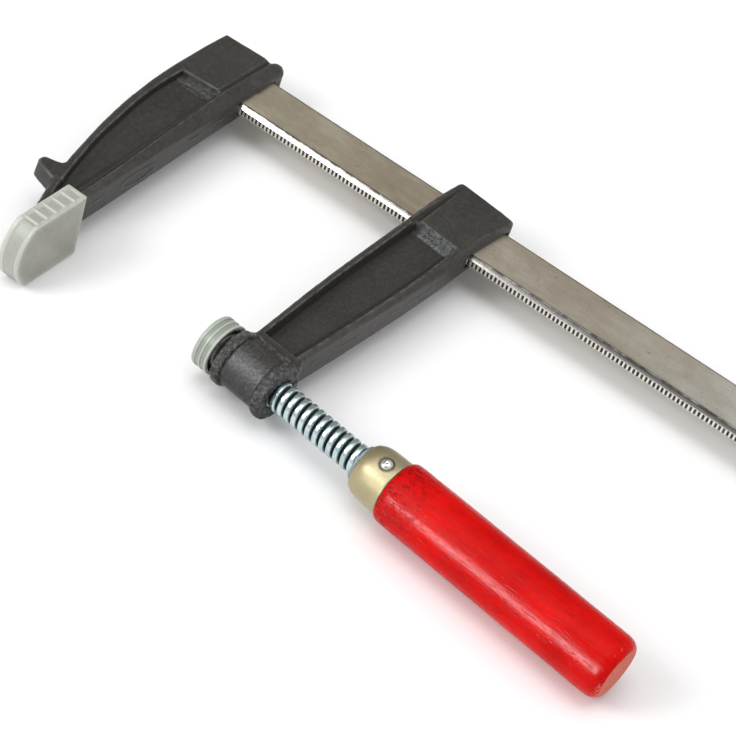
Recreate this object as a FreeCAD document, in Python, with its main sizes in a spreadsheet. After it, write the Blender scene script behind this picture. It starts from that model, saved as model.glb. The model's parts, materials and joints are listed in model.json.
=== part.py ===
import FreeCAD, Part
import Sketcher
import math
import os

# F-clamp for carpentry.  Millimetres, +Z up, the clamp lying on its side.
# Origin: centre of the pressure face of the fixed jaw cap.
#   +X  along the rail, away from the fixed jaw
#   -Y  along the arms, away from the rail
#   +Z  square to the plane of the clamp
# The fixed arm and the rail are drawn in the "rail frame": its X = 0 is the
# pressing side of the fixed arm, its Y = 0 the toothed edge of the rail.
# The sliding arm and all that hangs on the screw are drawn in the "screw
# frame": its X runs along the spindle axis and its Y toward the rail; it is
# turned about Z by the lean of the slack sliding arm.

V = FreeCAD.Vector
doc = FreeCAD.newDocument("f_clamp")
sheet = doc.addObject("Spreadsheet::Sheet", "dims")
sheet.Label = "dims"
aliases = []


# ------------------------------------------------------------ driven numbers
class Driven:
    """A number together with the sheet expression that drives it."""

    def __init__(self, value, formula):
        self.value = float(value)
        self.formula = formula

    def __add__(self, other):
        other = driven(other)
        return Driven(self.value + other.value, "(%s + %s)" % (self.formula, other.formula))

    def __sub__(self, other):
        other = driven(other)
        return Driven(self.value - other.value, "(%s - %s)" % (self.formula, other.formula))

    def __mul__(self, other):
        other = driven(other)
        return Driven(self.value * other.value, "(%s * %s)" % (self.formula, other.formula))

    def __truediv__(self, other):
        other = driven(other)
        return Driven(self.value / other.value, "(%s / %s)" % (self.formula, other.formula))

    def __neg__(self):
        return Driven(-self.value, "(0 - %s)" % self.formula)


def driven(number):
    if isinstance(number, Driven):
        return number
    return Driven(number, "(0 - %.6g)" % -number if number < 0 else "%.6g" % number)


def dim(alias, value):
    """Write a value to the next row of the sheet and return it as a Driven."""
    aliases.append(alias)
    row = len(aliases)
    sheet.set("A%d" % row, alias)
    sheet.set("B%d" % row, "%.6g" % value)
    sheet.setAlias("B%d" % row, alias)
    return Driven(value, "dims." + alias)


# ---------------------------------------------------------------- dimensions
# rail, along X
rail_width = dim("rail_width", 30.0)
rail_thick = dim("rail_thick", 7.0)
rail_chamfer = dim("rail_chamfer", 1.8)
rail_back_end = dim("rail_back_end", -33.0)
rail_front_end = dim("rail_front_end", 373.0)
tooth_pitch = dim("tooth_pitch", 2.22)
tooth_depth = dim("tooth_depth", 0.55)
tooth_mouth = dim("tooth_mouth", 1.15)
tooth_overshoot = dim("tooth_overshoot", 0.05)
tooth_first = dim("tooth_first", 2.0)
tooth_count = dim("tooth_count", 161)

# both arms
jaw_offset_x = dim("jaw_offset_x", 5.5)
throat_depth = dim("throat_depth", 146.25)
arm_half = dim("arm_half", 8.5)
web_half = dim("web_half", 2.5)
recess_draft = dim("recess_draft", 14.0)
arm_edge_round = dim("arm_edge_round", 1.4)

# sliding arm; angles in degrees
arm_lean = dim("arm_lean", 5.8)
screw_offset_y = dim("screw_offset_y", 18.29)
slot_gap = dim("slot_gap", 0.35)
slot_width = dim("slot_width", 32.3)
slot_half_length = dim("slot_half_length", 30.0)
slot_turn = dim("slot_turn", 3.2)
slot_mid_a = dim("slot_mid_a", 107.0)
slot_mid_b = dim("slot_mid_b", 154.6)
boss_radius = dim("boss_radius", 11.9)
collar_radius = dim("collar_radius", 13.3)
boss_start = dim("boss_start", 100.9)
boss_end = dim("boss_end", 129.2)
collar_length = dim("collar_length", 4.6)
bore_lead = dim("bore_lead", 8.0)
bore_length = dim("bore_length", 60.0)

# spindle: stations along the screw axis, radii about it
thread_radius = dim("thread_radius", 7.0)
thread_pitch = dim("thread_pitch", 4.0)
thread_depth = dim("thread_depth", 2.0)
thread_start = dim("thread_start", 101.6)
thread_end = dim("thread_end", 176.6)
thread_clear = dim("thread_clear", 0.06)
groove_start = dim("groove_start", 99.4)
groove_runout = dim("groove_runout", 2.2)
groove_root_half = dim("groove_root_half", 0.65)
groove_mouth_half = dim("groove_mouth_half", 1.28)
groove_overshoot = dim("groove_overshoot", 0.25)
neck_radius = dim("neck_radius", 2.6)
ball_centre = dim("ball_centre", 96.4)
ball_radius = dim("ball_radius", 3.8)
socket_clear = dim("socket_clear", 0.06)
socket_end = dim("socket_end", 97.9)
tang_radius = dim("tang_radius", 5.0)
tang_end = dim("tang_end", 236.0)
collar_ring_radius = dim("collar_ring_radius", 8.6)
collar_ring_end = dim("collar_ring_end", 178.3)

# ferrule, handle and cross pin
ferrule_end = dim("ferrule_end", 195.4)
ferrule_radius = dim("ferrule_radius", 13.0)
ferrule_wall = dim("ferrule_wall", 1.3)
handle_radius = dim("handle_radius", 14.75)
handle_end = dim("handle_end", 314.2)
pin_station = dim("pin_station", 189.3)
pin_radius = dim("pin_radius", 2.0)
pin_turn = dim("pin_turn", 14.5)
pin_cut_length = dim("pin_cut_length", 40.0)

# pressure plate and its cap
pad_radius = dim("pad_radius", 12.7)
pad_wall = dim("pad_wall", 1.9)
pad_face = dim("pad_face", 89.5)
pad_rim = dim("pad_rim", 98.4)

# fixed jaw cap
cap_half_z = dim("cap_half_z", 16.5)
cap_half_y = dim("cap_half_y", 21.25)
cap_depth = dim("cap_depth", 11.0)

# dowels through the head of the fixed arm, stop pin at the free rail end
dowel_radius = dim("dowel_radius", 2.0)
dowel_length = dim("dowel_length", 14.1)
dowel_inset = dim("dowel_inset", 0.3)
dowel_centres = [
    (dim("dowel_xa", -25.0), dim("dowel_ya", 9.0)),
    (dim("dowel_xb", -11.0), dim("dowel_yb", 21.0)),
]
stop_radius = dim("stop_radius", 2.5)
stop_x = dim("stop_x", 365.0)
stop_length = dim("stop_length", 15.0)

ZERO = driven(0)
rail_half = rail_thick / 2
rail_through = rail_thick + 2
pad_inner_face = pad_face + pad_wall
ferrule_bore = ferrule_radius - ferrule_wall

# The frames' offsets follow the sheet; their rotations and the corners of the
# sliding arm's slot are worked out here, from the values given above.
RAIL_FRAME = (-jaw_offset_x, throat_depth, ZERO)
SCREW_FRAME = (-jaw_offset_x, screw_offset_y, ZERO)
LEAN = FreeCAD.Rotation(V(0, 0, 1), -arm_lean.value)
LEAN_TURN = LEAN.multiply(FreeCAD.Rotation(V(1, 0, 0), pin_turn.value))


# ------------------------------------------------------------------- helpers
def drive(obj, prop, number):
    number = driven(number)
    setattr(obj, prop, number.value)
    obj.setExpression(prop, number.formula)


def new_body(name, label):
    body = doc.addObject("PartDesign::Body", name)
    body.Label = label
    return body


def origin_plane(body, role):
    for feature in body.Origin.OriginFeatures:
        if feature.Role == role:
            return feature
    raise RuntimeError("no plane " + role)


def sketch_on(body, role, name, offset=None):
    sketch = body.newObject("Sketcher::SketchObject", name)
    sketch.AttachmentSupport = (origin_plane(body, role), [""])
    sketch.MapMode = "FlatFace"
    if offset is not None:
        offset = driven(offset)
        sketch.AttachmentOffset = FreeCAD.Placement(V(0, 0, offset.value), FreeCAD.Rotation())
        sketch.setExpression("AttachmentOffset.Base.z", offset.formula)
    return sketch


def add_poly(sketch, tag, points):
    """Closed outline; every corner is held by two sheet-driven distances."""
    corners = []
    for i, (x, y) in enumerate(points):
        if not isinstance(x, Driven):
            x = dim("%s_x%d" % (tag, i + 1), x)
        if not isinstance(y, Driven):
            y = dim("%s_y%d" % (tag, i + 1), y)
        corners.append((x, y))
    count = len(corners)
    lines = []
    for i in range(count):
        (ax, ay), (bx, by) = corners[i], corners[(i + 1) % count]
        lines.append(Part.LineSegment(V(ax.value, ay.value, 0), V(bx.value, by.value, 0)))
    first = sketch.GeometryCount
    sketch.addGeometry(lines, False)
    constraints = []
    for i in range(count):
        following = first + (i + 1) % count
        constraints.append(Sketcher.Constraint("Coincident", first + i, 2, following, 1))
    for i, (x, y) in enumerate(corners):
        constraints.append(Sketcher.Constraint("DistanceX", -1, 1, first + i, 1, x.value))
        constraints.append(Sketcher.Constraint("DistanceY", -1, 1, first + i, 1, y.value))
    distances = sketch.ConstraintCount + count
    sketch.addConstraint(constraints)
    for i, (x, y) in enumerate(corners):
        sketch.setExpression("Constraints[%d]" % (distances + 2 * i), x.formula)
        sketch.setExpression("Constraints[%d]" % (distances + 2 * i + 1), y.formula)


def poly_sketch(body, role, name, tag, points, offset=None):
    sketch = sketch_on(body, role, name, offset)
    add_poly(sketch, tag, points)
    return sketch


def add_circle(sketch, x, y, radius):
    circle = Part.Circle(V(x.value, y.value, 0), V(0, 0, 1), radius.value)
    index = sketch.addGeometry(circle, False)
    for constraint, number in (
        (Sketcher.Constraint("Radius", index, radius.value), radius),
        (Sketcher.Constraint("DistanceX", -1, 1, index, 3, x.value), x),
        (Sketcher.Constraint("DistanceY", -1, 1, index, 3, y.value), y),
    ):
        place_in_list = sketch.addConstraint(constraint)
        sketch.setExpression("Constraints[%d]" % place_in_list, number.formula)


def make_symmetric(feature):
    # The property's name depends on the FreeCAD version.
    if "SideType" in feature.PropertiesList:
        feature.SideType = "Symmetric"
    else:
        feature.Midplane = True


def extrude(body, kind, sketch, name, length, sym, back):
    feature = body.newObject("PartDesign::" + kind, name)
    feature.Profile = sketch
    drive(feature, "Length", length)
    if sym:
        make_symmetric(feature)
    feature.Reversed = back
    return feature


def pad(body, sketch, name, length, sym=False, back=False):
    feature = extrude(body, "Pad", sketch, name, length, sym, back)
    doc.recompute()
    return feature


def require_cut(body, volume_before, name):
    if body.Shape.Volume > volume_before - 1e-3:
        raise RuntimeError("%s cuts nothing" % name)


def pocket(body, sketch, name, length, sym=False, back=False, taper=None):
    """Cut against the sketch normal, or along it when back is set."""
    before = body.Shape.Volume
    feature = extrude(body, "Pocket", sketch, name, length, sym, back)
    if taper is not None:
        drive(feature, "TaperAngle", taper)
    doc.recompute()
    require_cut(body, before, name)
    return feature


def revolve(body, sketch, name, kind="Revolution", axis="H_Axis"):
    feature = body.newObject("PartDesign::" + kind, name)
    feature.Profile = sketch
    feature.ReferenceAxis = (sketch, [axis])
    feature.Angle = 360.0
    doc.recompute()


def turned(body, sketch_name, tag, points, name):
    """Solid of revolution about X; points are (station along X, radius)."""
    revolve(body, poly_sketch(body, "XY_Plane", sketch_name, tag, points), name)


def fillet(body, base, wanted, radius, name):
    """Round the edges of base whose centre of mass passes the wanted test."""
    edges = enumerate(base.Shape.Edges, 1)
    names = ["Edge%d" % i for i, edge in edges if wanted(edge.CenterOfMass)]
    feature = body.newObject("PartDesign::Fillet", name)
    feature.Base = (base, names)
    drive(feature, "Radius", radius)
    doc.recompute()
    # A fillet the kernel cannot build is left out, so that the piece stays sound.
    if feature.Shape.isNull() or not feature.Shape.isValid() or "Invalid" in feature.State:
        print("fillet dropped:", name)
        body.removeObject(feature)
        doc.removeObject(feature.Name)
        body.Tip = base
        doc.recompute()


def place(body, frame, rotation=FreeCAD.Rotation()):
    body.Placement = FreeCAD.Placement(V(*[number.value for number in frame]), rotation)
    for axis, number in zip("xyz", frame):
        body.setExpression("Placement.Base." + axis, number.formula)


# -------------------------------------------------------------- shared shapes
def rail_section(toothed_edge, back_edge, half):
    """Eight-cornered bar section, (Y, Z), from the toothed edge outward."""
    cut = rail_chamfer
    return [
        (toothed_edge, cut - half), (cut, -half), (back_edge - cut, -half),
        (back_edge, cut - half), (back_edge, half - cut), (back_edge - cut, half),
        (cut, half), (toothed_edge, half - cut),
    ]


def round_ended(edge, shoulder, tip, half, radius):
    """Outline, (Y, Z), straight at the +Y edge and bowed out to the -Y tip."""
    arc = []
    for step in range(1, 12):
        z = half * ((step - 6) / 6)
        arc.append((tip + (radius - math.sqrt(radius ** 2 - z.value ** 2)), z))
    return [(edge, -half), (shoulder, -half)] + arc + [(shoulder, half), (edge, half)]


def cap_outline(half_y, half_z, sag):
    radius = (half_z.value ** 2 + sag ** 2) / (2 * sag)
    return round_ended(half_y, -half_y + sag, -half_y, half_z, radius)


def cut_recesses(body, part, tag, rim):
    """Drafted recess in each broad side of an arm, leaving the web."""
    for end, tag_end, side in (("Top", "rec", 1), ("Low", "low", -1)):
        sketch = poly_sketch(body, "XY_Plane", "%sRecess%s" % (part, end), tag + tag_end,
                             rim, arm_half * side)
        pocket(body, sketch, "%sRecessCut%s" % (part, end), arm_half - web_half,
               back=side < 0, taper=-recess_draft)


def cut_pin_hole(body, part):
    sketch = sketch_on(body, "XY_Plane", part + "PinHole")
    add_circle(sketch, pin_station, ZERO, pin_radius)
    pocket(body, sketch, part + "PinCut", pin_cut_length, sym=True)


# ---------------------------------------------------------------------- rail
def build_rail():
    """Flat bar with broken corners; cross teeth along the -Y edge."""
    body = new_body("Rail", "rail")
    section = rail_section(ZERO, rail_width, rail_half)
    sketch = poly_sketch(body, "YZ_Plane", "RailSection", "rail", section, rail_back_end)
    pad(body, sketch, "RailBar", rail_front_end - rail_back_end)

    sketch = poly_sketch(body, "XY_Plane", "RailTooth", "tooth", [
        (tooth_first, tooth_depth),
        (tooth_first + tooth_mouth / 2, -tooth_overshoot),
        (tooth_first - tooth_mouth / 2, -tooth_overshoot),
    ])
    tooth = pocket(body, sketch, "RailToothCut", rail_through, sym=True)
    teeth = body.newObject("PartDesign::LinearPattern", "RailTeeth")
    teeth.Originals = [tooth]
    teeth.Direction = (sketch, ["H_Axis"])
    drive(teeth, "Length", tooth_pitch * (tooth_count - 1))
    teeth.Occurrences = int(tooth_count.value)
    teeth.setExpression("Occurrences", tooth_count.formula)
    body.Tip = teeth
    doc.recompute()

    # cross hole for the end stop near the free end, and two for the dowels
    sketch = sketch_on(body, "XY_Plane", "RailHoles")
    add_circle(sketch, stop_x, rail_width / 2, stop_radius)
    for x, y in dowel_centres:
        add_circle(sketch, x, y, dowel_radius)
    pocket(body, sketch, "RailHoleCut", rail_through, sym=True)
    place(body, RAIL_FRAME)


# ----------------------------------------------------------------- fixed arm
# Outlines in the rail frame, (X, Y).
FIXED_OUTLINE = [
    (-35.2, 34.5), (-7.4, 36.0), (-5.5, 38.0), (-2.0, 38.0), (ZERO, 36.2), (ZERO, -126.0),
    (-1.0, -158.0), (-5.0, -158.0), (-8.6, -144.4), (-15.0, -127.2), (-21.3, -106.4),
    (-27.2, -80.8), (-32.1, -55.3), (-35.0, -32.0), (-36.1, -12.3), (-36.0, 12.0),
]
FIXED_RECESS = [
    (-28.6, -5.0), (-29.9, -25.0), (-29.0, -44.0), (-27.2, -60.0), (-24.6, -78.0),
    (-20.0, -97.5), (-14.9, -116.0), (-11.6, -126.0), (-3.2, -126.0), (-3.4, -92.0),
    (-5.6, -51.0), (-7.4, -10.0), (-7.8, -5.0),
]
FIXED_LUG = [
    (-20.0, -104.5), (-22.5, -107.4), (-25.4, -108.7), (-29.3, -109.7), (-30.6, -110.8),
    (-30.9, -113.8), (-29.6, -115.9), (-26.0, -117.3), (-18.6, -119.4), (-14.0, -116.0),
]


def build_fixed_arm():
    """I-section casting: head around the rail, web, two flanges, lug, jaw plate."""
    body = new_body("FixedArm", "fixed_arm")
    sketch = poly_sketch(body, "XY_Plane", "FixedArmOutline", "fixarm", FIXED_OUTLINE)
    blank = pad(body, sketch, "FixedArmBlank", arm_half * 2, sym=True)
    fillet(body, blank, lambda centre: abs(abs(centre.z) - arm_half.value) < 1e-4,
           arm_edge_round, "FixedArmEdges")
    cut_recesses(body, "Fixed", "fix", FIXED_RECESS)

    # lug on the -X side, upper half only
    lug_height = arm_half * dim("lug_share", 0.985)
    sketch = poly_sketch(body, "XY_Plane", "FixedLugOutline", "fixlug", FIXED_LUG)
    lug = pad(body, sketch, "FixedLug", lug_height)
    fillet(body, lug,
           lambda centre: centre.x < -21.5 and -120 < centre.y < -106.0
           and abs(centre.z - lug_height.value) < 1e-3,
           dim("lug_round", 0.9), "FixedLugEdges")

    # wide jaw plate at the tip, its lower end an arc of radius 16.6
    outline = round_ended(edge=dim("plate_edge", -127.4), shoulder=dim("plate_shoulder", -157.2),
                          tip=dim("plate_tip", -165.2), half=dim("plate_half", 14.2),
                          radius=16.6)
    sketch = poly_sketch(body, "YZ_Plane", "JawPlateOutline", "plate", outline,
                         dim("plate_back", -5.2))
    pad(body, sketch, "JawPlate", dim("plate_thick", 8.4))

    # rail slot, closed at -X by the end wall
    fit = dim("fix_fit", 0.03)
    section = rail_section(-fit, rail_width + fit, rail_half + fit)
    sketch = poly_sketch(body, "YZ_Plane", "FixedRailSlot", "fixslot", section,
                         dim("fix_slot_start", -34.0))
    pocket(body, sketch, "FixedRailSlotCut", dim("fix_slot_length", 42.0), back=True)

    # blind dowel holes from the underside
    sketch = sketch_on(body, "XY_Plane", "FixedDowelHoles", -arm_half - 0.2)
    for x, y in dowel_centres:
        add_circle(sketch, x, y, dowel_radius)
    pocket(body, sketch, "FixedDowelCut", arm_half + 6.3, back=True)
    place(body, RAIL_FRAME)


# ------------------------------------------------------------- fixed jaw cap
def build_jaw_cap():
    """Shoe over the jaw plate; its pressure face is at X = 0, its mouth at -X."""
    body = new_body("FixedJawCap", "fixed_jaw_cap")
    sketch = poly_sketch(body, "YZ_Plane", "CapOutline", "cap",
                         cap_outline(cap_half_y, cap_half_z, sag=9.0))
    block = pad(body, sketch, "CapBlock", cap_depth, back=True)
    fillet(body, block, lambda centre: abs(centre.x) < 1e-4, dim("cap_round", 0.9),
           "CapFaceEdges")

    cavity = cap_outline(dim("cavity_half_y", 18.95), dim("cavity_half_z", 14.3), sag=8.1)
    sketch = poly_sketch(body, "YZ_Plane", "CapCavity", "capin", cavity, dim("cap_floor", -2.2))
    pocket(body, sketch, "CapCavityCut", cap_depth)

    # opening for the arm in the +Y wall
    mouth_half = dim("mouth_half", 8.75)
    mouth = [(17.0, -mouth_half), (23.0, -mouth_half), (23.0, mouth_half), (17.0, mouth_half)]
    sketch = poly_sketch(body, "YZ_Plane", "CapMouth", "mouth", mouth, dim("mouth_start", -5.3))
    pocket(body, sketch, "CapMouthCut", cap_depth)

    # six low cross ribs on the +Z and on the -Z wall
    rib_back = dim("rib_back", -10.9)
    rib_front = dim("rib_front", -1.2)
    rib_first = dim("rib_first", 17.5)
    rib_pitch = dim("rib_pitch", 6.1)
    rib_width = dim("rib_width", 1.3)
    rib_sink = dim("rib_sink", 0.1)
    rib_height = dim("rib_height", 0.5)
    for end, side in (("Top", 1), ("Low", -1)):
        sketch = sketch_on(body, "XY_Plane", "CapRibs" + end, (cap_half_z - rib_sink) * side)
        for k in range(6):
            y = rib_first - rib_pitch * k
            add_poly(sketch, "rib", [(rib_back, y), (rib_front, y),
                                     (rib_front, y + rib_width), (rib_back, y + rib_width)])
        pad(body, sketch, "CapRibPad" + end, rib_height, back=side < 0)


# ------------------------------------------------------------- dowels, stop
def build_dowel(body_name, letter, centre):
    body = new_body(body_name, "fixed_arm_dowel_" + letter.lower())
    sketch = sketch_on(body, "XY_Plane", "DowelCircle" + letter, -arm_half + dowel_inset)
    add_circle(sketch, centre[0], centre[1], dowel_radius)
    pad(body, sketch, "Dowel" + letter, dowel_length)
    place(body, RAIL_FRAME)
    return body


def build_stop():
    body = new_body("RailStop", "rail_stop_pin")
    sketch = sketch_on(body, "XY_Plane", "StopCircle")
    add_circle(sketch, stop_x, rail_width / 2, stop_radius)
    pin = pad(body, sketch, "StopPin", stop_length, sym=True)
    fillet(body, pin, lambda centre: abs(abs(centre.z) - stop_length.value / 2) < 1e-3,
           dim("stop_round", 0.6), "StopEnds")
    place(body, RAIL_FRAME)


# --------------------------------------------------------------- sliding arm
# Outlines in the screw frame, (X, Y).
SLIDE_OUTLINE = [
    (91.2, 175.3), (122.4, 175.3), (123.9, 173.6), (123.2, 150.0), (125.4, 112.0),
    (125.8, 70.0), (125.4, 5.0), (102.6, 5.0), (96.4, 68.0), (92.9, 127.0),
    (91.1, 140.0), (89.6, 160.0), (89.6, 173.6),
]
SLIDE_RECESS = [
    (95.4, 134.8), (96.6, 112.0), (99.3, 70.0), (104.3, 16.5), (122.6, 16.5),
    (122.9, 45.0), (122.6, 80.0), (121.6, 108.0), (118.9, 134.8),
]


def slide_slot_corners():
    """Corners of the rail slot, a rectangle turned by slot_turn about its middle."""
    turn = math.radians(slot_turn.value)
    corners = []
    for along, across in ((-1, -1), (1, -1), (1, 1), (-1, 1)):
        run = along * slot_half_length.value
        rise = across * slot_width.value / 2
        corners.append((slot_mid_a.value + run * math.cos(turn) - rise * math.sin(turn),
                        slot_mid_b.value + run * math.sin(turn) + rise * math.cos(turn)))
    return corners


def build_sliding_arm():
    body = new_body("SlidingArm", "sliding_arm")
    sketch = poly_sketch(body, "XY_Plane", "SlideOutline", "slide", SLIDE_OUTLINE)
    blank = pad(body, sketch, "SlideBlank", arm_half * 2, sym=True)
    # all outline edges but the pair at Y = 5, which the boss covers
    fillet(body, blank,
           lambda centre: abs(abs(centre.z) - arm_half.value) < 1e-4 and centre.y > 6,
           arm_edge_round, "SlideEdges")
    cut_recesses(body, "Slide", "slide", SLIDE_RECESS)

    # spindle boss with a collar at each end
    turned(body, "BossProfile", "boss", [
        (boss_start, ZERO),
        (boss_start, collar_radius - 0.9),
        (boss_start + 0.9, collar_radius),
        (boss_start + collar_length - 1.0, collar_radius),
        (boss_start + collar_length, boss_radius),
        (boss_end - collar_length, boss_radius),
        (boss_end - collar_length + 1.0, collar_radius),
        (boss_end - 1.4, collar_radius),
        (boss_end, collar_radius - 1.4),
        (boss_end, ZERO),
    ], "Boss")

    # plain bore, at the outside diameter of the thread plus clearance
    sketch = sketch_on(body, "YZ_Plane", "BossBore", boss_start - bore_lead)
    add_circle(sketch, ZERO, ZERO, thread_radius + thread_clear)
    pocket(body, sketch, "BossBoreCut", bore_length, back=True)

    # rail slot: wider than the bar and turned about half way between slack and grip
    sketch = poly_sketch(body, "XY_Plane", "SlideSlot", "slot", slide_slot_corners())
    pocket(body, sketch, "SlideSlotCut", rail_thick + slot_gap * 2, sym=True)
    place(body, SCREW_FRAME, LEAN)


# ------------------------------------------------------------------- spindle
def build_spindle():
    """Ball, neck, threaded length, collar ring and tang."""
    body = new_body("Spindle", "spindle")
    turned(body, "SpindleProfile", "spin", [
        (ball_centre, ZERO),
        (ball_centre, neck_radius),
        (thread_start - 0.3, neck_radius),
        (thread_start, thread_radius - 1.6),
        (thread_start + 1.6, thread_radius),
        (thread_end, thread_radius),
        (thread_end, collar_ring_radius),
        (collar_ring_end, collar_ring_radius),
        (collar_ring_end, tang_radius),
        (tang_end - 1.5, tang_radius),
        (tang_end, tang_radius - 1.5),
        (tang_end, ZERO),
    ], "SpindleBar")

    ball = body.newObject("PartDesign::AdditiveSphere", "SpindleBall")
    drive(ball, "Radius", ball_radius)
    ball.AttachmentSupport = (origin_plane(body, "XY_Plane"), [""])
    ball.MapMode = "FlatFace"
    ball.AttachmentOffset = FreeCAD.Placement(V(ball_centre.value, 0, 0),
                                              FreeCAD.Rotation(V(0, 1, 0), 90))
    ball.setExpression("AttachmentOffset.Base.x", ball_centre.formula)
    doc.recompute()

    root = thread_radius - thread_depth
    mouth = thread_radius + groove_overshoot
    sketch = poly_sketch(body, "XY_Plane", "ThreadGroove", "groove", [
        (groove_start - groove_root_half, root),
        (groove_start + groove_root_half, root),
        (groove_start + groove_mouth_half, mouth),
        (groove_start - groove_mouth_half, mouth),
    ])
    thread = body.newObject("PartDesign::SubtractiveHelix", "Thread")
    thread.Profile = sketch
    thread.ReferenceAxis = (sketch, ["H_Axis"])
    thread.Mode = 0  # by pitch, height and cone angle
    drive(thread, "Pitch", thread_pitch)
    drive(thread, "Height", thread_end - groove_start - groove_runout)
    thread.Angle = 0
    thread.Growth = 0
    thread.LeftHanded = 0
    thread.Reversed = 0
    doc.recompute()
    cut_pin_hole(body, "Spindle")
    place(body, SCREW_FRAME, LEAN_TURN)


# ------------------------------------------- socket ring, pressure plate, cap
def build_socket_ring():
    """Snap ring behind the ball; it travels with the spindle but does not turn."""
    body = new_body("SocketRing", "socket_ring")
    turned(body, "RingProfile", "ring",
           [(98.35, 3.5), (99.0, 3.5), (99.0, 4.55), (98.35, 4.55)], "Ring")
    place(body, SCREW_FRAME, LEAN)


def build_pressure_plate():
    """Disc with a socket for the ball."""
    body = new_body("PressurePlate", "pressure_plate")
    turned(body, "PlateProfile", "pplate", [
        (pad_inner_face, ZERO), (pad_inner_face, 10.2), (92.0, 10.75), (94.6, 10.75),
        (95.2, 10.2), (95.2, 8.9), (97.6, 8.3), (100.3, 4.9), (100.3, 3.6), (99.6, 3.6),
        (99.6, 5.2), (97.7, 5.2), (97.7, 3.9), (96.4, 3.9), (96.4, ZERO),
    ], "PlateDisc")

    # quarter circle in 10 degree steps, then straight out toward +X
    radius = ball_radius + socket_clear
    profile = [(ball_centre - radius, ZERO)]
    for step in range(1, 9):
        angle = math.radians(180 - 10 * step)
        profile.append((ball_centre + radius * math.cos(angle), radius * math.sin(angle)))
    profile += [(ball_centre, radius), (socket_end, radius), (socket_end, ZERO)]
    sketch = poly_sketch(body, "XY_Plane", "SocketProfile", "socket", profile)
    before = body.Shape.Volume
    revolve(body, sketch, "PlateSocket", kind="Groove")
    require_cut(body, before, "PlateSocket")
    place(body, SCREW_FRAME, LEAN)


def build_pad_cap():
    """Cup over the pressure plate, with a lip turned in at the rim."""
    body = new_body("PadCap", "pad_cap")
    turned(body, "PadCapProfile", "padcap", [
        (pad_face, ZERO),
        (pad_face, pad_radius - 0.8),
        (pad_face + 0.8, pad_radius),
        (pad_rim - 0.3, pad_radius),
        (pad_rim, pad_radius - 0.3),
        (pad_rim, pad_radius - 1.7),
        (pad_rim - 0.8, pad_radius - 2.3),
        (pad_rim - 2.0, pad_radius - 1.9),
        (pad_inner_face, pad_radius - 1.9),
        (pad_inner_face, ZERO),
    ], "PadCapCup")
    place(body, SCREW_FRAME, LEAN)


# ------------------------------------------------ ferrule, cross pin, handle
def build_ferrule():
    """Thin cup around the -X end of the handle."""
    body = new_body("Ferrule", "ferrule")
    start = collar_ring_end
    turned(body, "FerruleProfile", "ferr", [
        (start, tang_radius), (start, 9.2), (start + 0.35, 10.3), (start + 1.0, 11.2),
        (start + 2.0, 11.9), (start + 3.4, 12.4), (start + 5.4, 12.75),
        (start + 8.0, ferrule_radius - 0.08),
        (ferrule_end - 0.4, ferrule_radius),
        (ferrule_end, ferrule_radius - 0.4),
        (ferrule_end, ferrule_bore),
        (start + 7.2, ferrule_bore),
        (start + 3.2, 11.0), (start + 1.6, 9.2), (start + 1.4, tang_radius),
    ], "FerruleCup")
    cut_pin_hole(body, "Ferrule")
    place(body, SCREW_FRAME, LEAN_TURN)


def build_cross_pin():
    """Pin along Z with a domed head at each end."""
    body = new_body("CrossPin", "cross_pin")
    # (radius, distance from mid-length) from the end of the pin inward
    half_profile = [(0, 13.9), (0.9, 13.8), (1.9, 13.5), (2.6, 13.05), (2.6, 12.98),
                    (pin_radius, 12.85)]
    points = [(pin_station + radius, -z) for radius, z in half_profile]
    points += [(pin_station + radius, z) for radius, z in reversed(half_profile)]
    sketch = poly_sketch(body, "XZ_Plane", "PinProfile", "pin", points)
    # the closing line of the profile lies on the pin's axis
    revolve(body, sketch, "Pin", axis="Edge%d" % len(points))
    place(body, SCREW_FRAME, LEAN_TURN)


def build_handle():
    """Turned grip bored for the tang, its -X end stepped down into the ferrule."""
    body = new_body("Handle", "handle")
    start = collar_ring_end + 1.7
    nose_radius = ferrule_bore - 0.05
    turned(body, "HandleProfile", "hand", [
        (start, tang_radius), (start, 8.4), (start + 1.6, 10.3),
        (start + 5.6, nose_radius),
        (ferrule_end, nose_radius),
        (ferrule_end, ferrule_radius - 0.3),
        (ferrule_end + 0.6, 13.4), (ferrule_end + 1.6, 14.1), (ferrule_end + 3.0, 14.55),
        (ferrule_end + 5.0, handle_radius),
        (handle_end - 4.4, handle_radius),
        (handle_end - 3.0, 14.55), (handle_end - 1.7, 14.0), (handle_end - 0.7, 13.1),
        (handle_end - 0.15, 12.2), (handle_end, 11.4), (handle_end, ZERO),
        (tang_end, ZERO), (tang_end, tang_radius),
    ], "HandleTurning")
    cut_pin_hole(body, "Handle")
    place(body, SCREW_FRAME, LEAN_TURN)


# ------------------------------------------------------------------- writing
def check_states():
    bad = []
    for obj in doc.Objects:
        state = list(obj.State)
        if "Invalid" in state or "Error" in state:
            bad.append((obj.Name, state))
    if bad:
        raise RuntimeError("objects in error: %r" % bad)


def export_parts(dowels):
    """One file for each body, but the two dowels together in one."""
    os.makedirs("parts", exist_ok=True)
    for body in doc.Objects:
        if body.TypeId != "PartDesign::Body":
            continue
        if body.Shape.isNull() or not body.Shape.isValid():
            raise RuntimeError("bad shape in " + body.Label)
        if body not in dowels:
            body.Shape.exportStep("parts/%s.step" % body.Label)
    pair = Part.makeCompound([dowel.Shape for dowel in dowels])
    pair.exportStep("parts/fixed_arm_dowels.step")


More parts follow.
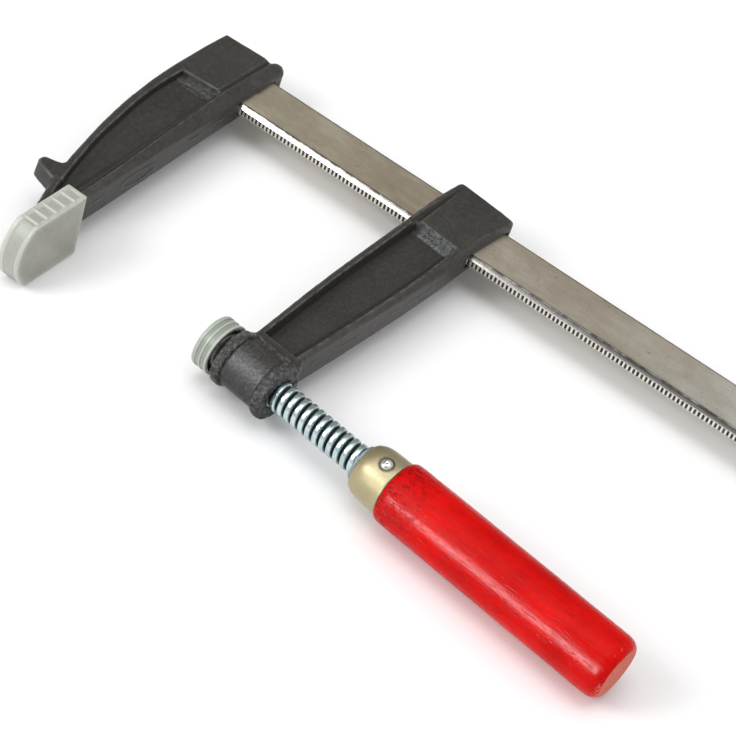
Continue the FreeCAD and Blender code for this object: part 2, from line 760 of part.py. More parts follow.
build_rail()
build_fixed_arm()
build_jaw_cap()
arm_dowels = [
    build_dowel("ArmDowels", "A", dowel_centres[0]),
    build_dowel("ArmDowelB", "B", dowel_centres[1]),
]
build_stop()
build_sliding_arm()
build_spindle()
build_socket_ring()
build_pressure_plate()
build_pad_cap()
build_ferrule()
build_cross_pin()
build_handle()
doc.recompute()
check_states()
export_parts(arm_dowels)
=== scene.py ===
"""A bar clamp: cast fixed arm, toothed rail, sliding arm, screw, pad and red handle.

It lies flat with Z up. Parts are drawn in millimetres in one of two frames:
  rail frame   X along the rail, Y across its width, both parallel to the world axes
  screw frame  X along the spindle from the pad to the handle, leaning by LEAN about Z
Z = 0 is the middle plane in both. The soft shoe on the fixed jaw is drawn in world
axes, in millimetres.
"""
import json
import math
from functools import reduce
from itertools import product

import bpy
import numpy as np
from mathutils import Matrix, Vector


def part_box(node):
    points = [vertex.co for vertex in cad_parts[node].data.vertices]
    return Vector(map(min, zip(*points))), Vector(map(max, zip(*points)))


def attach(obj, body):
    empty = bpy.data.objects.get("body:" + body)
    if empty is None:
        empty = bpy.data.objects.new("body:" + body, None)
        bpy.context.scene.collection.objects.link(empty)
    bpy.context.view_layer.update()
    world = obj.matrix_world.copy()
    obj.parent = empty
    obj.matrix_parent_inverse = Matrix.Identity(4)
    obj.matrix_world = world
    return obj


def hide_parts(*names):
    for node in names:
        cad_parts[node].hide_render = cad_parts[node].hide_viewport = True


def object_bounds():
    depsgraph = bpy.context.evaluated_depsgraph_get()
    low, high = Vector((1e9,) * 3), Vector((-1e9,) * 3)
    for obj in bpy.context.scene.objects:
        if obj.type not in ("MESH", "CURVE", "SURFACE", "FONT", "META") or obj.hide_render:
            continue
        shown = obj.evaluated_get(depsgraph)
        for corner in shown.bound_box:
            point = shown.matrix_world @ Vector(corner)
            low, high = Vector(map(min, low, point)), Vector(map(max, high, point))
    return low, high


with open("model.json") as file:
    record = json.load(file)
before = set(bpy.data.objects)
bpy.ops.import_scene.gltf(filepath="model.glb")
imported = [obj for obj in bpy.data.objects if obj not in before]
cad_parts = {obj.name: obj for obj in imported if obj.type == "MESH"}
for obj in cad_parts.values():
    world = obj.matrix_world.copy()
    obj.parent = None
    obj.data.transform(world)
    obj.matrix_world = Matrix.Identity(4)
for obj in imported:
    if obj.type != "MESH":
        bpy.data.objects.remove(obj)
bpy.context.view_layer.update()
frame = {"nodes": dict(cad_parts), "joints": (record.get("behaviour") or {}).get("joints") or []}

# ------------------------------------------------- shared sizes, millimetres
MILLI = 0.001  # metres in a millimetre

RAIL_START, RAIL_END = -33.0, 373.0
RAIL_WIDTH, RAIL_THICK = 30.0, 7.0

ARM_HALF = 8.5  # half thickness of both arms
WEB_HALF = 2.5  # half thickness of the web between their rims

BALL_X, BALL_RADIUS = 96.4, 3.8
FERRULE_START, FERRULE_END, FERRULE_RADIUS = 178.3, 195.4, 13.0
PIN_X = 189.3

ARM_CELL = 0.42
SHOE_CELL = 0.4

# ---------------------------------------------------------------- placement
rail_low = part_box("rail")[0]
RAIL_ORIGIN = np.array([rail_low.x / MILLI - RAIL_START, rail_low.y / MILLI, 0.0])
joints = {joint["name"]: joint for joint in frame["joints"]}
feed_axis = joints["spindle_feed"]["axis"]
LEAN = math.atan2(feed_axis[1], -feed_axis[0])
ball_centre = np.array(joints["pad_swivel"]["pos_m"]) / MILLI
SCREW_ORIGIN = ball_centre - BALL_X * np.array([math.cos(LEAN), -math.sin(LEAN), 0.0])
SCREW_TURN = math.radians(14.5)  # how far the screw is wound round its own axis


def rail_to_world(points):
    return (np.asarray(points, float) + RAIL_ORIGIN) * MILLI


def rotate(across, up, angle):
    cos, sin = math.cos(angle), math.sin(angle)
    return cos * across - sin * up, sin * across + cos * up


def screw_to_world(points, turned=False):
    points = np.asarray(points, float)
    x, y, z = points[..., 0], points[..., 1], points[..., 2]
    if turned:
        y, z = rotate(y, z, SCREW_TURN)
    x, y = rotate(x, y, -LEAN)
    return (np.stack([x, y, z], -1) + SCREW_ORIGIN) * MILLI


# -------------------------------------------------------- noise and profiles
def rise(value, start, width):
    """0 up to start, 1 from start + width."""
    return np.clip((value - start) / width, 0, 1)


def fall(value, end, width):
    """1 down to end - width, 0 from end on."""
    return np.clip((end - value) / width, 0, 1)


def corner_weights(fraction):
    """Each corner of a unit cell with its trilinear weight."""
    for corner in product((0, 1), repeat=3):
        share = np.where(corner, fraction, 1 - fraction)
        yield corner, share[..., 0] * share[..., 1] * share[..., 2]


def value_noise(points, scale, seed):
    """Value noise, -1 to 1, on points in millimetres."""
    points = np.asarray(points, float) / scale
    base = np.floor(points).astype(np.int64)
    fraction = points - base
    fraction = fraction * fraction * (3 - 2 * fraction)
    total = 0.0
    for corner, weight in corner_weights(fraction):
        node = base + np.array(corner)
        key = ((node[..., 0] * 73856093) ^ (node[..., 1] * 19349663)
               ^ (node[..., 2] * 83492791) ^ (seed * 2654435761))
        key = (key ^ (key >> 13)) * 1274126177
        key = key ^ (key >> 16)
        total = total + weight * (((key & 0xFFFFFF) / float(0x7FFFFF)) - 1.0)
    return total


def layered_noise(points, scale, seed, layers=3):
    total, weight, weights = 0.0, 1.0, 0.0
    for k in range(layers):
        total = total + weight * value_noise(points, scale / 2 ** k, seed + 17 * k)
        weights += weight
        weight *= 0.5
    return total / weights


def spline(points, steps):
    """Open Catmull-Rom curve through the points."""
    points = np.asarray(points, float)
    points = np.vstack([2 * points[0] - points[1], points, 2 * points[-1] - points[-2]])
    curve = []
    for i in range(1, len(points) - 2):
        before, start, end, after = points[i - 1:i + 3]
        for k in range(steps):
            t = k / steps
            curve.append(0.5 * (2 * start + (end - before) * t
                                + (2 * before - 5 * start + 4 * end - after) * t * t
                                + (-before + 3 * start - 3 * end + after) * t ** 3))
    curve.append(points[-2])
    return [tuple(v) for v in curve]


def arc(centre_x, centre_y, radius, start, end, steps):
    """Points on a circle from one angle to another, in degrees."""
    angles = [math.radians(start + (end - start) * k / steps) for k in range(steps + 1)]
    return [(centre_x + radius * math.cos(a), centre_y + radius * math.sin(a)) for a in angles]


def dense(profile, step):
    """Resamples a profile so that no piece is longer than step."""
    points = [profile[0]]
    for start, end in zip(profile[:-1], profile[1:]):
        run, lift = end[0] - start[0], end[1] - start[1]
        count = max(1, int(math.ceil(math.hypot(run, lift) / step)))
        points += [(start[0] + run * k / count, start[1] + lift * k / count)
                   for k in range(1, count + 1)]
    return points


# ---------------------------------------------- distance fields, negative inside
def outline_field(X, Y, outline):
    """Distance to a closed outline, one layer deep in Z."""
    x, y = X[:, :, :1], Y[:, :, :1]
    nearest = np.full(x.shape, 1e18)
    inside = np.zeros(x.shape, bool)
    for (start_x, start_y), (end_x, end_y) in zip(outline, outline[1:] + outline[:1]):
        edge_x, edge_y = end_x - start_x, end_y - start_y
        from_x, from_y = x - start_x, y - start_y
        length2 = edge_x * edge_x + edge_y * edge_y + 1e-12
        t = np.clip((from_x * edge_x + from_y * edge_y) / length2, 0, 1)
        nearest = np.minimum(nearest, (from_x - edge_x * t) ** 2 + (from_y - edge_y * t) ** 2)
        rise_y = edge_y if abs(edge_y) > 1e-12 else 1e-12
        crossing = start_x + (y - start_y) * edge_x / rise_y
        inside ^= ((start_y > y) != (end_y > y)) & (x < crossing)
    nearest = np.sqrt(nearest)
    return np.where(inside, -nearest, nearest)


def smooth_min(first, second, reach):
    mix = np.clip(0.5 + 0.5 * (second - first) / reach, 0, 1)
    return second * (1 - mix) + first * mix - reach * mix * (1 - mix)


def smooth_max(first, second, reach):
    return -smooth_min(-first, -second, reach)


def carve(field, hole, reach):
    return smooth_max(field, -hole, reach)


def meet(*fields):
    """The part that all the fields share."""
    return reduce(np.maximum, fields)


def slab(value, start, end):
    return np.maximum(start - value, value - end)


def extrude(outline, z, half, radius):
    """A plate of the outline with rounded edges."""
    side, face = outline + radius, np.abs(z) - half + radius
    outside = np.hypot(np.maximum(side, 0), np.maximum(face, 0))
    return np.minimum(np.maximum(side, face), 0) + outside - radius


def capsule(X, Y, Z, start, end, radius):
    start = np.array(start, float)
    run = np.array(end, float) - start
    x, y, z = X - start[0], Y - start[1], Z - start[2]
    t = np.clip((x * run[0] + y * run[1] + z * run[2]) / (run @ run), 0, 1)
    return np.sqrt((x - t * run[0]) ** 2 + (y - t * run[1]) ** 2 + (z - t * run[2]) ** 2) - radius


def grid(start, end, cell):
    axes = [np.arange(start[i], end[i] + cell, cell) for i in range(3)]
    return np.meshgrid(*axes, indexing="ij"), np.array(start, float)


def surface_nets(field, origin, cell):
    """Quads round the zero level, with one vertex in each cell it crosses."""
    inside = field < 0
    shape = tuple(size - 1 for size in field.shape)
    offsets = np.zeros(shape + (3,), np.float32)
    count = np.zeros(shape, np.float32)

    def at_corner(values, corner):
        return values[tuple(slice(k, k + size) for k, size in zip(corner, shape))]

    for near in product((0, 1), repeat=3):
        for axis in range(3):
            if near[axis] == 1:
                continue
            far = list(near)
            far[axis] = 1
            value, other = at_corner(field, near), at_corner(field, far)
            crossed = at_corner(inside, near) != at_corner(inside, far)
            t = np.where(crossed, value / np.where(crossed, value - other, 1), 0)
            for k in range(3):
                offsets[..., k] += np.where(crossed, near[k] + (t if k == axis else 0), 0)
            count += crossed
    active = count > 0
    index = np.full(shape, -1, np.int64)
    index[active] = np.arange(active.sum())
    verts = (np.argwhere(active) + offsets[active] / count[active][:, None]) * cell + origin

    quads = []
    for axis in range(3):
        side, other = (axis + 1) % 3, (axis + 2) % 3
        ahead, behind = [slice(None)] * 3, [slice(None)] * 3
        behind[axis], ahead[axis] = slice(0, -1), slice(1, None)
        behind_in = inside[tuple(behind)]
        edges = np.argwhere(behind_in != inside[tuple(ahead)])
        kept = ((edges[:, side] >= 1) & (edges[:, other] >= 1)
                & (edges[:, side] < field.shape[side] - 1)
                & (edges[:, other] < field.shape[other] - 1))
        edges = edges[kept]
        flip = ~behind_in[tuple(edges.T)]
        ring = []
        for step_side, step_other in ((-1, -1), (0, -1), (0, 0), (-1, 0)):
            cells = edges.copy()
            cells[:, side] += step_side
            cells[:, other] += step_other
            ring.append(index[tuple(cells.T)])
        faces = np.stack(ring, 1)
        faces[flip] = faces[flip][:, ::-1]
        quads.append(faces)
    return verts, np.vstack(quads)


def skin(field, origin, cell):
    """Meshes a field: vertices pulled onto it, quads, normals and curvature."""
    verts, quads = surface_nets(field.astype(np.float32), origin, cell)
    gradient = np.stack(np.gradient(field, cell), -1)

    def sample(values, points):
        steps = (points - origin) / cell
        base = np.clip(np.floor(steps).astype(int), 0, np.array(field.shape) - 2)
        total = 0
        for corner, weight in corner_weights(steps - base):
            value = values[tuple((base + np.array(corner)).T)]
            total = total + (weight[:, None] * value if value.ndim > 1 else weight * value)
        return total

    for _ in range(2):
        distance = sample(field, verts)
        slope = sample(gradient, verts)
        size = np.linalg.norm(slope, axis=1, keepdims=True) + 1e-9
        verts -= slope / size * np.clip(distance / size[:, 0], -0.4 * cell, 0.4 * cell)[:, None]
    normals = sample(gradient, verts)
    normals = normals / (np.linalg.norm(normals, axis=1, keepdims=True) + 1e-9)
    gradient /= np.linalg.norm(gradient, axis=-1, keepdims=True) + 1e-9
    curvature = sum(np.gradient(gradient[..., i], cell, axis=i) for i in range(3))
    return verts, quads, normals, sample(curvature, verts)


# ------------------------------------------------------------ mesh building
def ring_quads(rings, size, loop=False):
    """Quads between successive rings of points; loop joins the last to the first."""
    i, j = np.meshgrid(np.arange(rings if loop else rings - 1), np.arange(size), indexing="ij")
    this, after = i * size, (i + 1) % rings * size
    turn = (j + 1) % size
    return np.stack([this + j, this + turn, after + turn, after + j], -1).reshape(-1, 4)


def round_points(x, radius, angle):
    return np.stack([x, radius * np.cos(angle), radius * np.sin(angle)], -1)


def lathe(profile, segments, reshape=None, loop=False):
    """Turns (x, radius) points about X.

    reshape(X, R, angle) may move them. The ends get fans, unless the profile
    is a loop that closes on itself.
    """
    profile = np.asarray(profile, float)
    count = len(profile)
    angles = np.arange(segments) * 2 * math.pi / segments
    X = np.repeat(profile[:, 0:1], segments, 1)
    R = np.repeat(profile[:, 1:2], segments, 1)
    angle = np.repeat(angles[None, :], count, 0)
    if reshape is not None:
        X, R = reshape(X, R, angle)
    verts = round_points(X, R, angle).reshape(-1, 3)
    quads = ring_quads(count, segments, loop)
    if loop:
        return verts, quads
    faces = [tuple(f) for f in quads]
    verts = np.vstack([verts, [[profile[0, 0], 0, 0], [profile[-1, 0], 0, 0]]])
    first, last = count * segments, count * segments + 1
    end_ring = (count - 1) * segments
    for k in range(segments):
        faces.append((first, (k + 1) % segments, k))
        faces.append((last, end_ring + k, end_ring + (k + 1) % segments))
    return verts, faces


def off_axis(verts):
    return np.hypot(verts[:, 1], verts[:, 2])


def add_part(name, verts, faces, material, body, slot, node, sharp=None, **attributes):
    """Adds a smooth mesh in metres with its point attributes, in place of a CAD node.

    sharp is the angle in degrees above which edges are split.
    """
    verts = np.asarray(verts, np.float32)
    mesh = bpy.data.meshes.new(name)
    if isinstance(faces, np.ndarray):
        count, corners = faces.shape
        mesh.vertices.add(len(verts))
        mesh.vertices.foreach_set("co", verts.ravel())
        mesh.loops.add(count * corners)
        mesh.loops.foreach_set("vertex_index", faces.astype(np.int32).ravel())
        mesh.polygons.add(count)
        starts = np.arange(0, count * corners, corners, dtype=np.int32)
        mesh.polygons.foreach_set("loop_start", starts)
        mesh.update(calc_edges=True)
    else:
        mesh.from_pydata([tuple(map(float, v)) for v in verts], [],
                         [tuple(int(i) for i in face) for face in faces])
        mesh.update()
    mesh.validate()
    mesh.polygons.foreach_set("use_smooth", [True] * len(mesh.polygons))
    for key, values in attributes.items():
        attribute = mesh.attributes.new(key, "FLOAT", "POINT")
        attribute.data.foreach_set("value", np.asarray(values, np.float32))
    part = bpy.data.objects.new(name, mesh)
    bpy.context.scene.collection.objects.link(part)
    if sharp is not None:
        mesh.set_sharp_from_angle(angle=math.radians(sharp))
    mesh.materials.append(MATERIALS[material])
    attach(part, body)
    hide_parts(node)


# ---------------------------------------------------------------- materials
class Nodes:
    """Short calls that build the node tree of a material or a world."""

    def __init__(self, owner, shader, output, space):
        owner.use_nodes = True
        self.owner = owner
        self.tree = owner.node_tree
        self.tree.nodes.clear()
        self.shader = self.add(shader)
        self.put(self.add(output).inputs[0], self.shader.outputs[0])
        self.coords = self.add("TexCoord").outputs[space]

    def add(self, kind):
        return self.tree.nodes.new("ShaderNode" + kind)

    def put(self, socket, value):
        if isinstance(value, bpy.types.NodeSocket):
            self.tree.links.new(value, socket)
        else:
            socket.default_value = value

    def noise(self, scale, detail=3, rough=0.6, distortion=0.0, **placing):
        node = self.add("TexNoise")
        node.inputs["Scale"].default_value = scale
        node.inputs["Detail"].default_value = detail
        node.inputs["Roughness"].default_value = rough
        node.inputs["Distortion"].default_value = distortion
        self.put(node.inputs["Vector"], self.placed(**placing) if placing else self.coords)
        return node.outputs["Fac"]

    def placed(self, stretch=(1, 1, 1), tilt=0.0, shift=(0, 0, 0)):
        """Coordinates scaled, turned about Z and moved."""
        node = self.add("Mapping")
        node.inputs["Scale"].default_value = stretch
        node.inputs["Rotation"].default_value = (0, 0, tilt)
        node.inputs["Location"].default_value = shift
        self.put(node.inputs["Vector"], self.coords)
        return node.outputs[0]

    def voronoi(self, scale):
        node = self.add("TexVoronoi")
        node.inputs["Scale"].default_value = scale
        self.put(node.inputs["Vector"], self.coords)
        return node.outputs["Distance"]

    def ramp(self, value, stops, interpolation="LINEAR"):
        """Colours at (position, colour) stops."""
        node = self.add("ValToRGB")
        node.color_ramp.interpolation = interpolation
        elements = node.color_ramp.elements
        while len(elements) > 1:
            elements.remove(elements[-1])
        elements[0].position = stops[0][0]
        elements[0].color = (*stops[0][1], 1)
        for position, colour in stops[1:]:
            elements.new(position).color = (*colour, 1)
        self.put(node.inputs["Fac"], value)
        return node.outputs["Color"]

    def fade(self, value, over, to=(0.0, 1.0), interpolation="LINEAR"):
        """Maps the range over onto the range to, clamped."""
        node = self.add("MapRange")
        node.interpolation_type = interpolation
        for key, number in zip(("From Min", "From Max", "To Min", "To Max"), (*over, *to)):
            node.inputs[key].default_value = number
        self.put(node.inputs["Value"], value)
        return node.outputs["Result"]

    def math(self, operation, *values):
        node = self.add("Math")
        node.operation = operation
        for socket, value in zip(node.inputs, values):
            self.put(socket, value)
        return node.outputs[0]

    def times(self, value, factor):
        return self.math("MULTIPLY", value, factor)

    def total(self, *terms):
        """Adds (value, weight) terms; a negative weight subtracts, a weight of 1 is bare."""
        result = None
        for value, weight in terms:
            part = value if weight == 1 else self.times(value, abs(weight))
            if result is None:
                result = part
            else:
                result = self.math("SUBTRACT" if weight < 0 else "ADD", result, part)
        return result

    def tint(self, colour, towards, by, times=None, blend="MIX"):
        """Mixes one colour towards another by a share, which times scales."""
        node = self.add("Mix")
        node.data_type = "RGBA"
        node.blend_type = blend
        self.put(node.inputs["Factor"], by if times is None else self.times(by, times))
        for socket, value in ((node.inputs[6], colour), (node.inputs[7], towards)):
            self.put(socket, (*value, 1) if isinstance(value, tuple) else value)
        return node.outputs[2]

    def part_of(self, vector, axis):
        node = self.add("SeparateXYZ")
        self.put(node.inputs[0], vector)
        return node.outputs[axis]

    def attribute(self, name):
        node = self.add("Attribute")
        node.attribute_name = name
        return node.outputs["Fac"]

    def set(self, **inputs):
        for key, value in inputs.items():
            self.put(self.shader.inputs[key.replace("_", " ")], value)

    def bump(self, height, strength, distance):
        node = self.add("Bump")
        node.inputs["Strength"].default_value = strength
        node.inputs["Distance"].default_value = distance
        self.put(node.inputs["Height"], height)
        self.set(Normal=node.outputs[0])


def new_material(name):
    return Nodes(bpy.data.materials.new(name), "BsdfPrincipled", "OutputMaterial", "Object")


def cast_material():
    mat = new_material("cast_iron_lacquered")
    swell = mat.noise(scale=38, rough=0.5)
    mid = mat.noise(scale=420, detail=5)
    fine = mat.noise(scale=2100, rough=0.65)
    pits = mat.fade(mat.voronoi(scale=900), over=(0.0, 0.35), to=(-0.5, 0.0))
    col = mat.ramp(swell, [(0.30, (0.026, 0.0240, 0.0210)), (0.50, (0.031, 0.0288, 0.0255)),
                           (0.72, (0.039, 0.0355, 0.031))])
    col = mat.tint(col, (0.060, 0.056, 0.050), by=mat.fade(mid, over=(0.44, 0.70), to=(0.0, 0.55)))
    # pale specks, dark holes and brown patches
    specks = mat.noise(scale=1250, rough=0.7)
    col = mat.tint(col, (0.088, 0.084, 0.078), by=mat.fade(specks, over=(0.56, 0.72), to=(0.0, 0.75)))
    holes = mat.noise(scale=1000, rough=0.7, shift=(0.7, 0.2, 0.4))
    col = mat.tint(col, (0.010, 0.0095, 0.0085),
                   by=mat.fade(holes, over=(0.58, 0.72), to=(0.0, 0.75)))
    brown = mat.noise(scale=70, shift=(0.1, 0.9, 0.3))
    col = mat.tint(col, (0.046, 0.038, 0.031), by=mat.fade(brown, over=(0.54, 0.72), to=(0.0, 0.28)))
    # paler worn edges that also serve as a painted edge highlight, and painted shade darkening the
    # hollows, from the curvature
    bend = mat.attribute("curve")
    patches = mat.fade(mat.noise(scale=260, detail=4, rough=0.65), over=(0.38, 0.62), to=(0.10, 1.0))
    worn = mat.times(mat.fade(bend, over=(0.22, 0.85)), patches)
    col = mat.tint(col, (0.125, 0.120, 0.110), by=worn, times=0.78)
    col = mat.tint(col, (0.008, 0.0075, 0.007), by=mat.fade(bend, over=(-0.75, -0.12), to=(0.85, 0.0)))
    # bare metal with dark flecks; on the arms' head steps the pale colour is also a painted highlight
    raw = mat.attribute("raw")
    cover = mat.fade(mat.noise(scale=520, detail=4, rough=0.7), over=(0.36, 0.64), to=(0.15, 1.0))
    col = mat.tint(col, (0.165, 0.178, 0.180), by=raw, times=cover)
    flecks = mat.fade(mat.noise(scale=900, rough=0.7), over=(0.54, 0.66), to=(0.0, 0.9))
    col = mat.tint(col, (0.020, 0.020, 0.019), by=raw, times=flecks)
    sheen = mat.attribute("sheen")
    col = mat.tint(col, (0.0095, 0.0092, 0.0085), by=sheen, times=0.85)
    # coarse skin: pale lumps and black gaps
    coarse = mat.attribute("coarse")
    lumps = mat.noise(scale=640, detail=4, rough=0.75)
    col = mat.tint(col, (0.130, 0.128, 0.116), by=coarse,
                   times=mat.fade(lumps, over=(0.52, 0.60), to=(0.0, 0.80)))
    col = mat.tint(col, (0.006, 0.006, 0.005), by=coarse,
                   times=mat.fade(lumps, over=(0.49, 0.42), to=(0.0, 0.9)))
    grain = mat.fade(mat.total((mid, 0.6), (fine, 0.4)), over=(0.3, 0.7), to=(0.28, 0.52))
    # on the boss the downward-facing side loses most of its specular: painted shade
    mat.set(Base_Color=col, Metallic=0.0, Roughness=mat.total((grain, 1), (sheen, -0.14)),
            Specular_IOR_Level=mat.total((0.32, 1), (sheen, 0.50), (mat.attribute("matte"), -0.60)))
    height = mat.total((mid, 0.8), (mat.total((fine, 0.35), (pits, 0.4)), 1),
                       (mat.times(coarse, lumps), 4.5))
    mat.bump(height, strength=0.9, distance=0.00026)
    return mat.owner


def rail_material():
    mat = new_material("rail_bare_steel")
    streak = mat.noise(scale=900, stretch=(0.06, 1.0, 1.0))
    cloud = mat.noise(scale=26, detail=4, rough=0.55)
    warm = mat.noise(scale=9, detail=2, rough=0.5, shift=(0.3, 0.1, 0))
    spots = mat.fade(mat.noise(scale=330, detail=2, rough=0.5), over=(0.66, 0.74))
    dots = mat.fade(mat.voronoi(scale=420), over=(0.0, 0.09), to=(1.0, 0.0))
    # tan at the low-X end, turning to cool grey along the bar
    along = mat.part_of(mat.coords, "X")
    cool = mat.ramp(cloud, [(0.32, (0.66, 0.64, 0.57)), (0.50, (0.78, 0.765, 0.70)),
                            (0.68, (0.85, 0.84, 0.79))])
    tan = mat.ramp(cloud, [(0.32, (0.52, 0.465, 0.335)), (0.50, (0.62, 0.555, 0.41)),
                           (0.68, (0.70, 0.635, 0.48))])
    col = mat.tint(cool, tan, by=mat.fade(along, over=(0.02, 0.26), to=(1.0, 0.0)), times=0.9)
    col = mat.tint(col, (0.47, 0.38, 0.26), by=mat.fade(warm, over=(0.44, 0.66), to=(0.0, 0.40)))
    col = mat.tint(col, (0.34, 0.32, 0.28), by=streak, times=0.20)
    middle = mat.times(mat.fade(along, over=(0.02, 0.07)),
                       mat.fade(along, over=(0.17, 0.30), to=(1.0, 0.0)))
    col = mat.tint(col, (0.41, 0.325, 0.225), by=middle, times=0.52)
    # dark and pale mottling, spots, dots and dust
    mottle = mat.noise(scale=150, detail=4, rough=0.65, stretch=(0.45, 1, 1))
    col = mat.tint(col, (0.36, 0.31, 0.23), by=mat.fade(mottle, over=(0.50, 0.72), to=(0.0, 0.34)))
    col = mat.tint(col, (0.86, 0.85, 0.80), by=mat.fade(mottle, over=(0.50, 0.30), to=(0.0, 0.26)))
    col = mat.tint(col, (0.25, 0.22, 0.17), by=spots, times=0.45)
    col = mat.tint(col, (0.12, 0.10, 0.08), by=dots, times=0.6)
    dust = mat.fade(mat.noise(scale=1500, detail=2), over=(0.62, 0.70), to=(0.0, 0.55))
    drifts = mat.noise(scale=45, detail=2, rough=0.5, shift=(0.5, 0.2, 0.1))
    col = mat.tint(col, (0.16, 0.135, 0.10), by=dust,
                   times=mat.fade(drifts, over=(0.42, 0.62), to=(0.15, 1.0)))
    # edges of the bar, where the surface turns away from Z
    normal = mat.add("NewGeometry").outputs["Normal"]
    side = mat.fade(mat.math("ABSOLUTE", mat.part_of(normal, "Z")), over=(0.95, 0.80))
    col = mat.tint(col, (0.80, 0.79, 0.74), by=side, times=0.70)
    # painted shade in the notches between the teeth, and darker along the broken corners
    col = mat.tint(col, (0.008, 0.007, 0.006), by=mat.attribute("notch"),
                   times=mat.fade(mat.noise(scale=600), over=(0.3, 0.6), to=(0.85, 1.0)))
    col = mat.tint(col, (0.022, 0.020, 0.017), by=mat.attribute("corner"),
                   times=mat.fade(mat.noise(scale=240), over=(0.35, 0.6), to=(0.65, 0.97)))
    rough = mat.fade(mat.total((streak, 0.5), (cloud, 0.5)), over=(0.3, 0.7), to=(0.30, 0.46))
    mat.set(Base_Color=col,
            Metallic=mat.fade(mat.attribute("notch"), over=(0.0, 0.8), to=(0.85, 0.0)),
            Specular_IOR_Level=mat.fade(mat.attribute("notch"), over=(0.0, 1.0), to=(0.5, 0.05)),
            Roughness=mat.times(rough, mat.fade(side, over=(0.0, 1.0), to=(1.0, 0.42))))
    mat.bump(mat.total((streak, 0.5), (mat.noise(scale=1500), 0.4)), strength=0.30, distance=0.00012)
    return mat.owner


def zinc_material():
    mat = new_material("zinc_plated_screw")
    broad = mat.noise(scale=160, rough=0.5)
    grain = mat.noise(scale=900)
    root = mat.attribute("root")
    col = mat.tint((0.40, 0.53, 0.57), (0.60, 0.70, 0.71), by=mat.fade(broad, over=(0.35, 0.65)))
    # painted shade in the thread roots and on the collar by the ferrule
    col = mat.tint(col, (0.006, 0.012, 0.008), by=root,
                   times=mat.fade(grain, over=(0.3, 0.6), to=(0.92, 1.0)))
    rough = mat.fade(grain, over=(0.3, 0.7), to=(0.16, 0.30))
    mat.set(Base_Color=col, Metallic=mat.fade(root, over=(0.0, 0.9), to=(0.95, 0.0)),
            Specular_IOR_Level=mat.fade(root, over=(0.0, 1.0), to=(0.4, 0.04)),
            Roughness=mat.total((rough, 1), (root, 0.3)))
    mat.bump(grain, strength=0.15, distance=0.0001)
    return mat.owner


def steel_material(name, scale, dark, light, metallic, rough):
    mat = new_material(name)
    grain = mat.noise(scale=scale, detail=4)
    mat.set(Base_Color=mat.tint(dark, light, by=mat.fade(grain, over=(0.35, 0.65))),
            Metallic=metallic, Roughness=mat.fade(grain, over=(0.3, 0.7), to=rough))
    mat.bump(grain, strength=0.2, distance=0.0001)
    return mat.owner


def ferrule_material():
    mat = new_material("yellow_passivated_zinc")
    broad = mat.noise(scale=55, rough=0.5)
    grain = mat.noise(scale=1100)
    turning = mat.noise(scale=900, detail=2, rough=0.5, stretch=(1.0, 0.08, 0.08), tilt=LEAN)
    col = mat.tint((0.38, 0.325, 0.185), (0.45, 0.40, 0.26), by=mat.fade(broad, over=(0.35, 0.65)))
    blush = mat.noise(scale=34, detail=2, rough=0.5)
    col = mat.tint(col, (0.58, 0.46, 0.34), by=mat.fade(blush, over=(0.54, 0.70), to=(0.0, 0.25)))
    col = mat.tint(col, (0.42, 0.36, 0.22),
                   by=mat.fade(mat.noise(scale=520), over=(0.60, 0.70), to=(0.0, 0.25)))
    edges = mat.add("NewGeometry").outputs["Pointiness"]
    col = mat.tint(col, (0.86, 0.83, 0.70), by=mat.fade(edges, over=(0.52, 0.62), to=(0.0, 0.6)))
    col = mat.tint(col, (0.03, 0.027, 0.020), by=mat.attribute("ring"))
    mat.set(Base_Color=col, Metallic=0.80,
            Roughness=mat.fade(grain, over=(0.3, 0.7), to=(0.35, 0.48)))
    mat.bump(mat.total((turning, 0.5), (grain, 0.4)), strength=0.22, distance=0.0001)
    return mat.owner


def plastic_material():
    mat = new_material("milky_soft_plastic")
    broad = mat.noise(scale=70, rough=0.5)
    grain = mat.noise(scale=1400)
    flow = mat.noise(scale=130, rough=0.5, distortion=1.2)
    col = mat.tint((0.43, 0.425, 0.355), (0.52, 0.52, 0.445), by=mat.fade(broad, over=(0.35, 0.65)))
    col = mat.tint(col, (0.60, 0.61, 0.53), by=mat.fade(flow, over=(0.4, 0.7), to=(0.0, 0.30)))
    col = mat.tint(col, (0.76, 0.78, 0.70), by=mat.attribute("pale"), times=0.85)
    col = mat.tint(col, (0.40, 0.44, 0.41), by=mat.attribute("thin"),
                   times=mat.fade(flow, over=(0.35, 0.65), to=(0.40, 0.62)))
    # painted highlight along the rims and convex edges
    col = mat.tint(col, (0.90, 0.92, 0.84), by=mat.attribute("edge"), times=0.80)
    col = mat.tint(col, (0.40, 0.50, 0.39), by=mat.attribute("dim"), times=0.35)
    # painted shade: the inside of the cup, nearly black
    col = mat.tint(col, (0.020, 0.022, 0.020), by=mat.attribute("inner"))
    mat.set(Base_Color=col, Roughness=mat.fade(grain, over=(0.3, 0.7), to=(0.26, 0.42)),
            Transmission_Weight=0.42, IOR=1.47, Specular_IOR_Level=0.4)
    mat.bump(grain, strength=0.2, distance=0.0001)
    return mat.owner


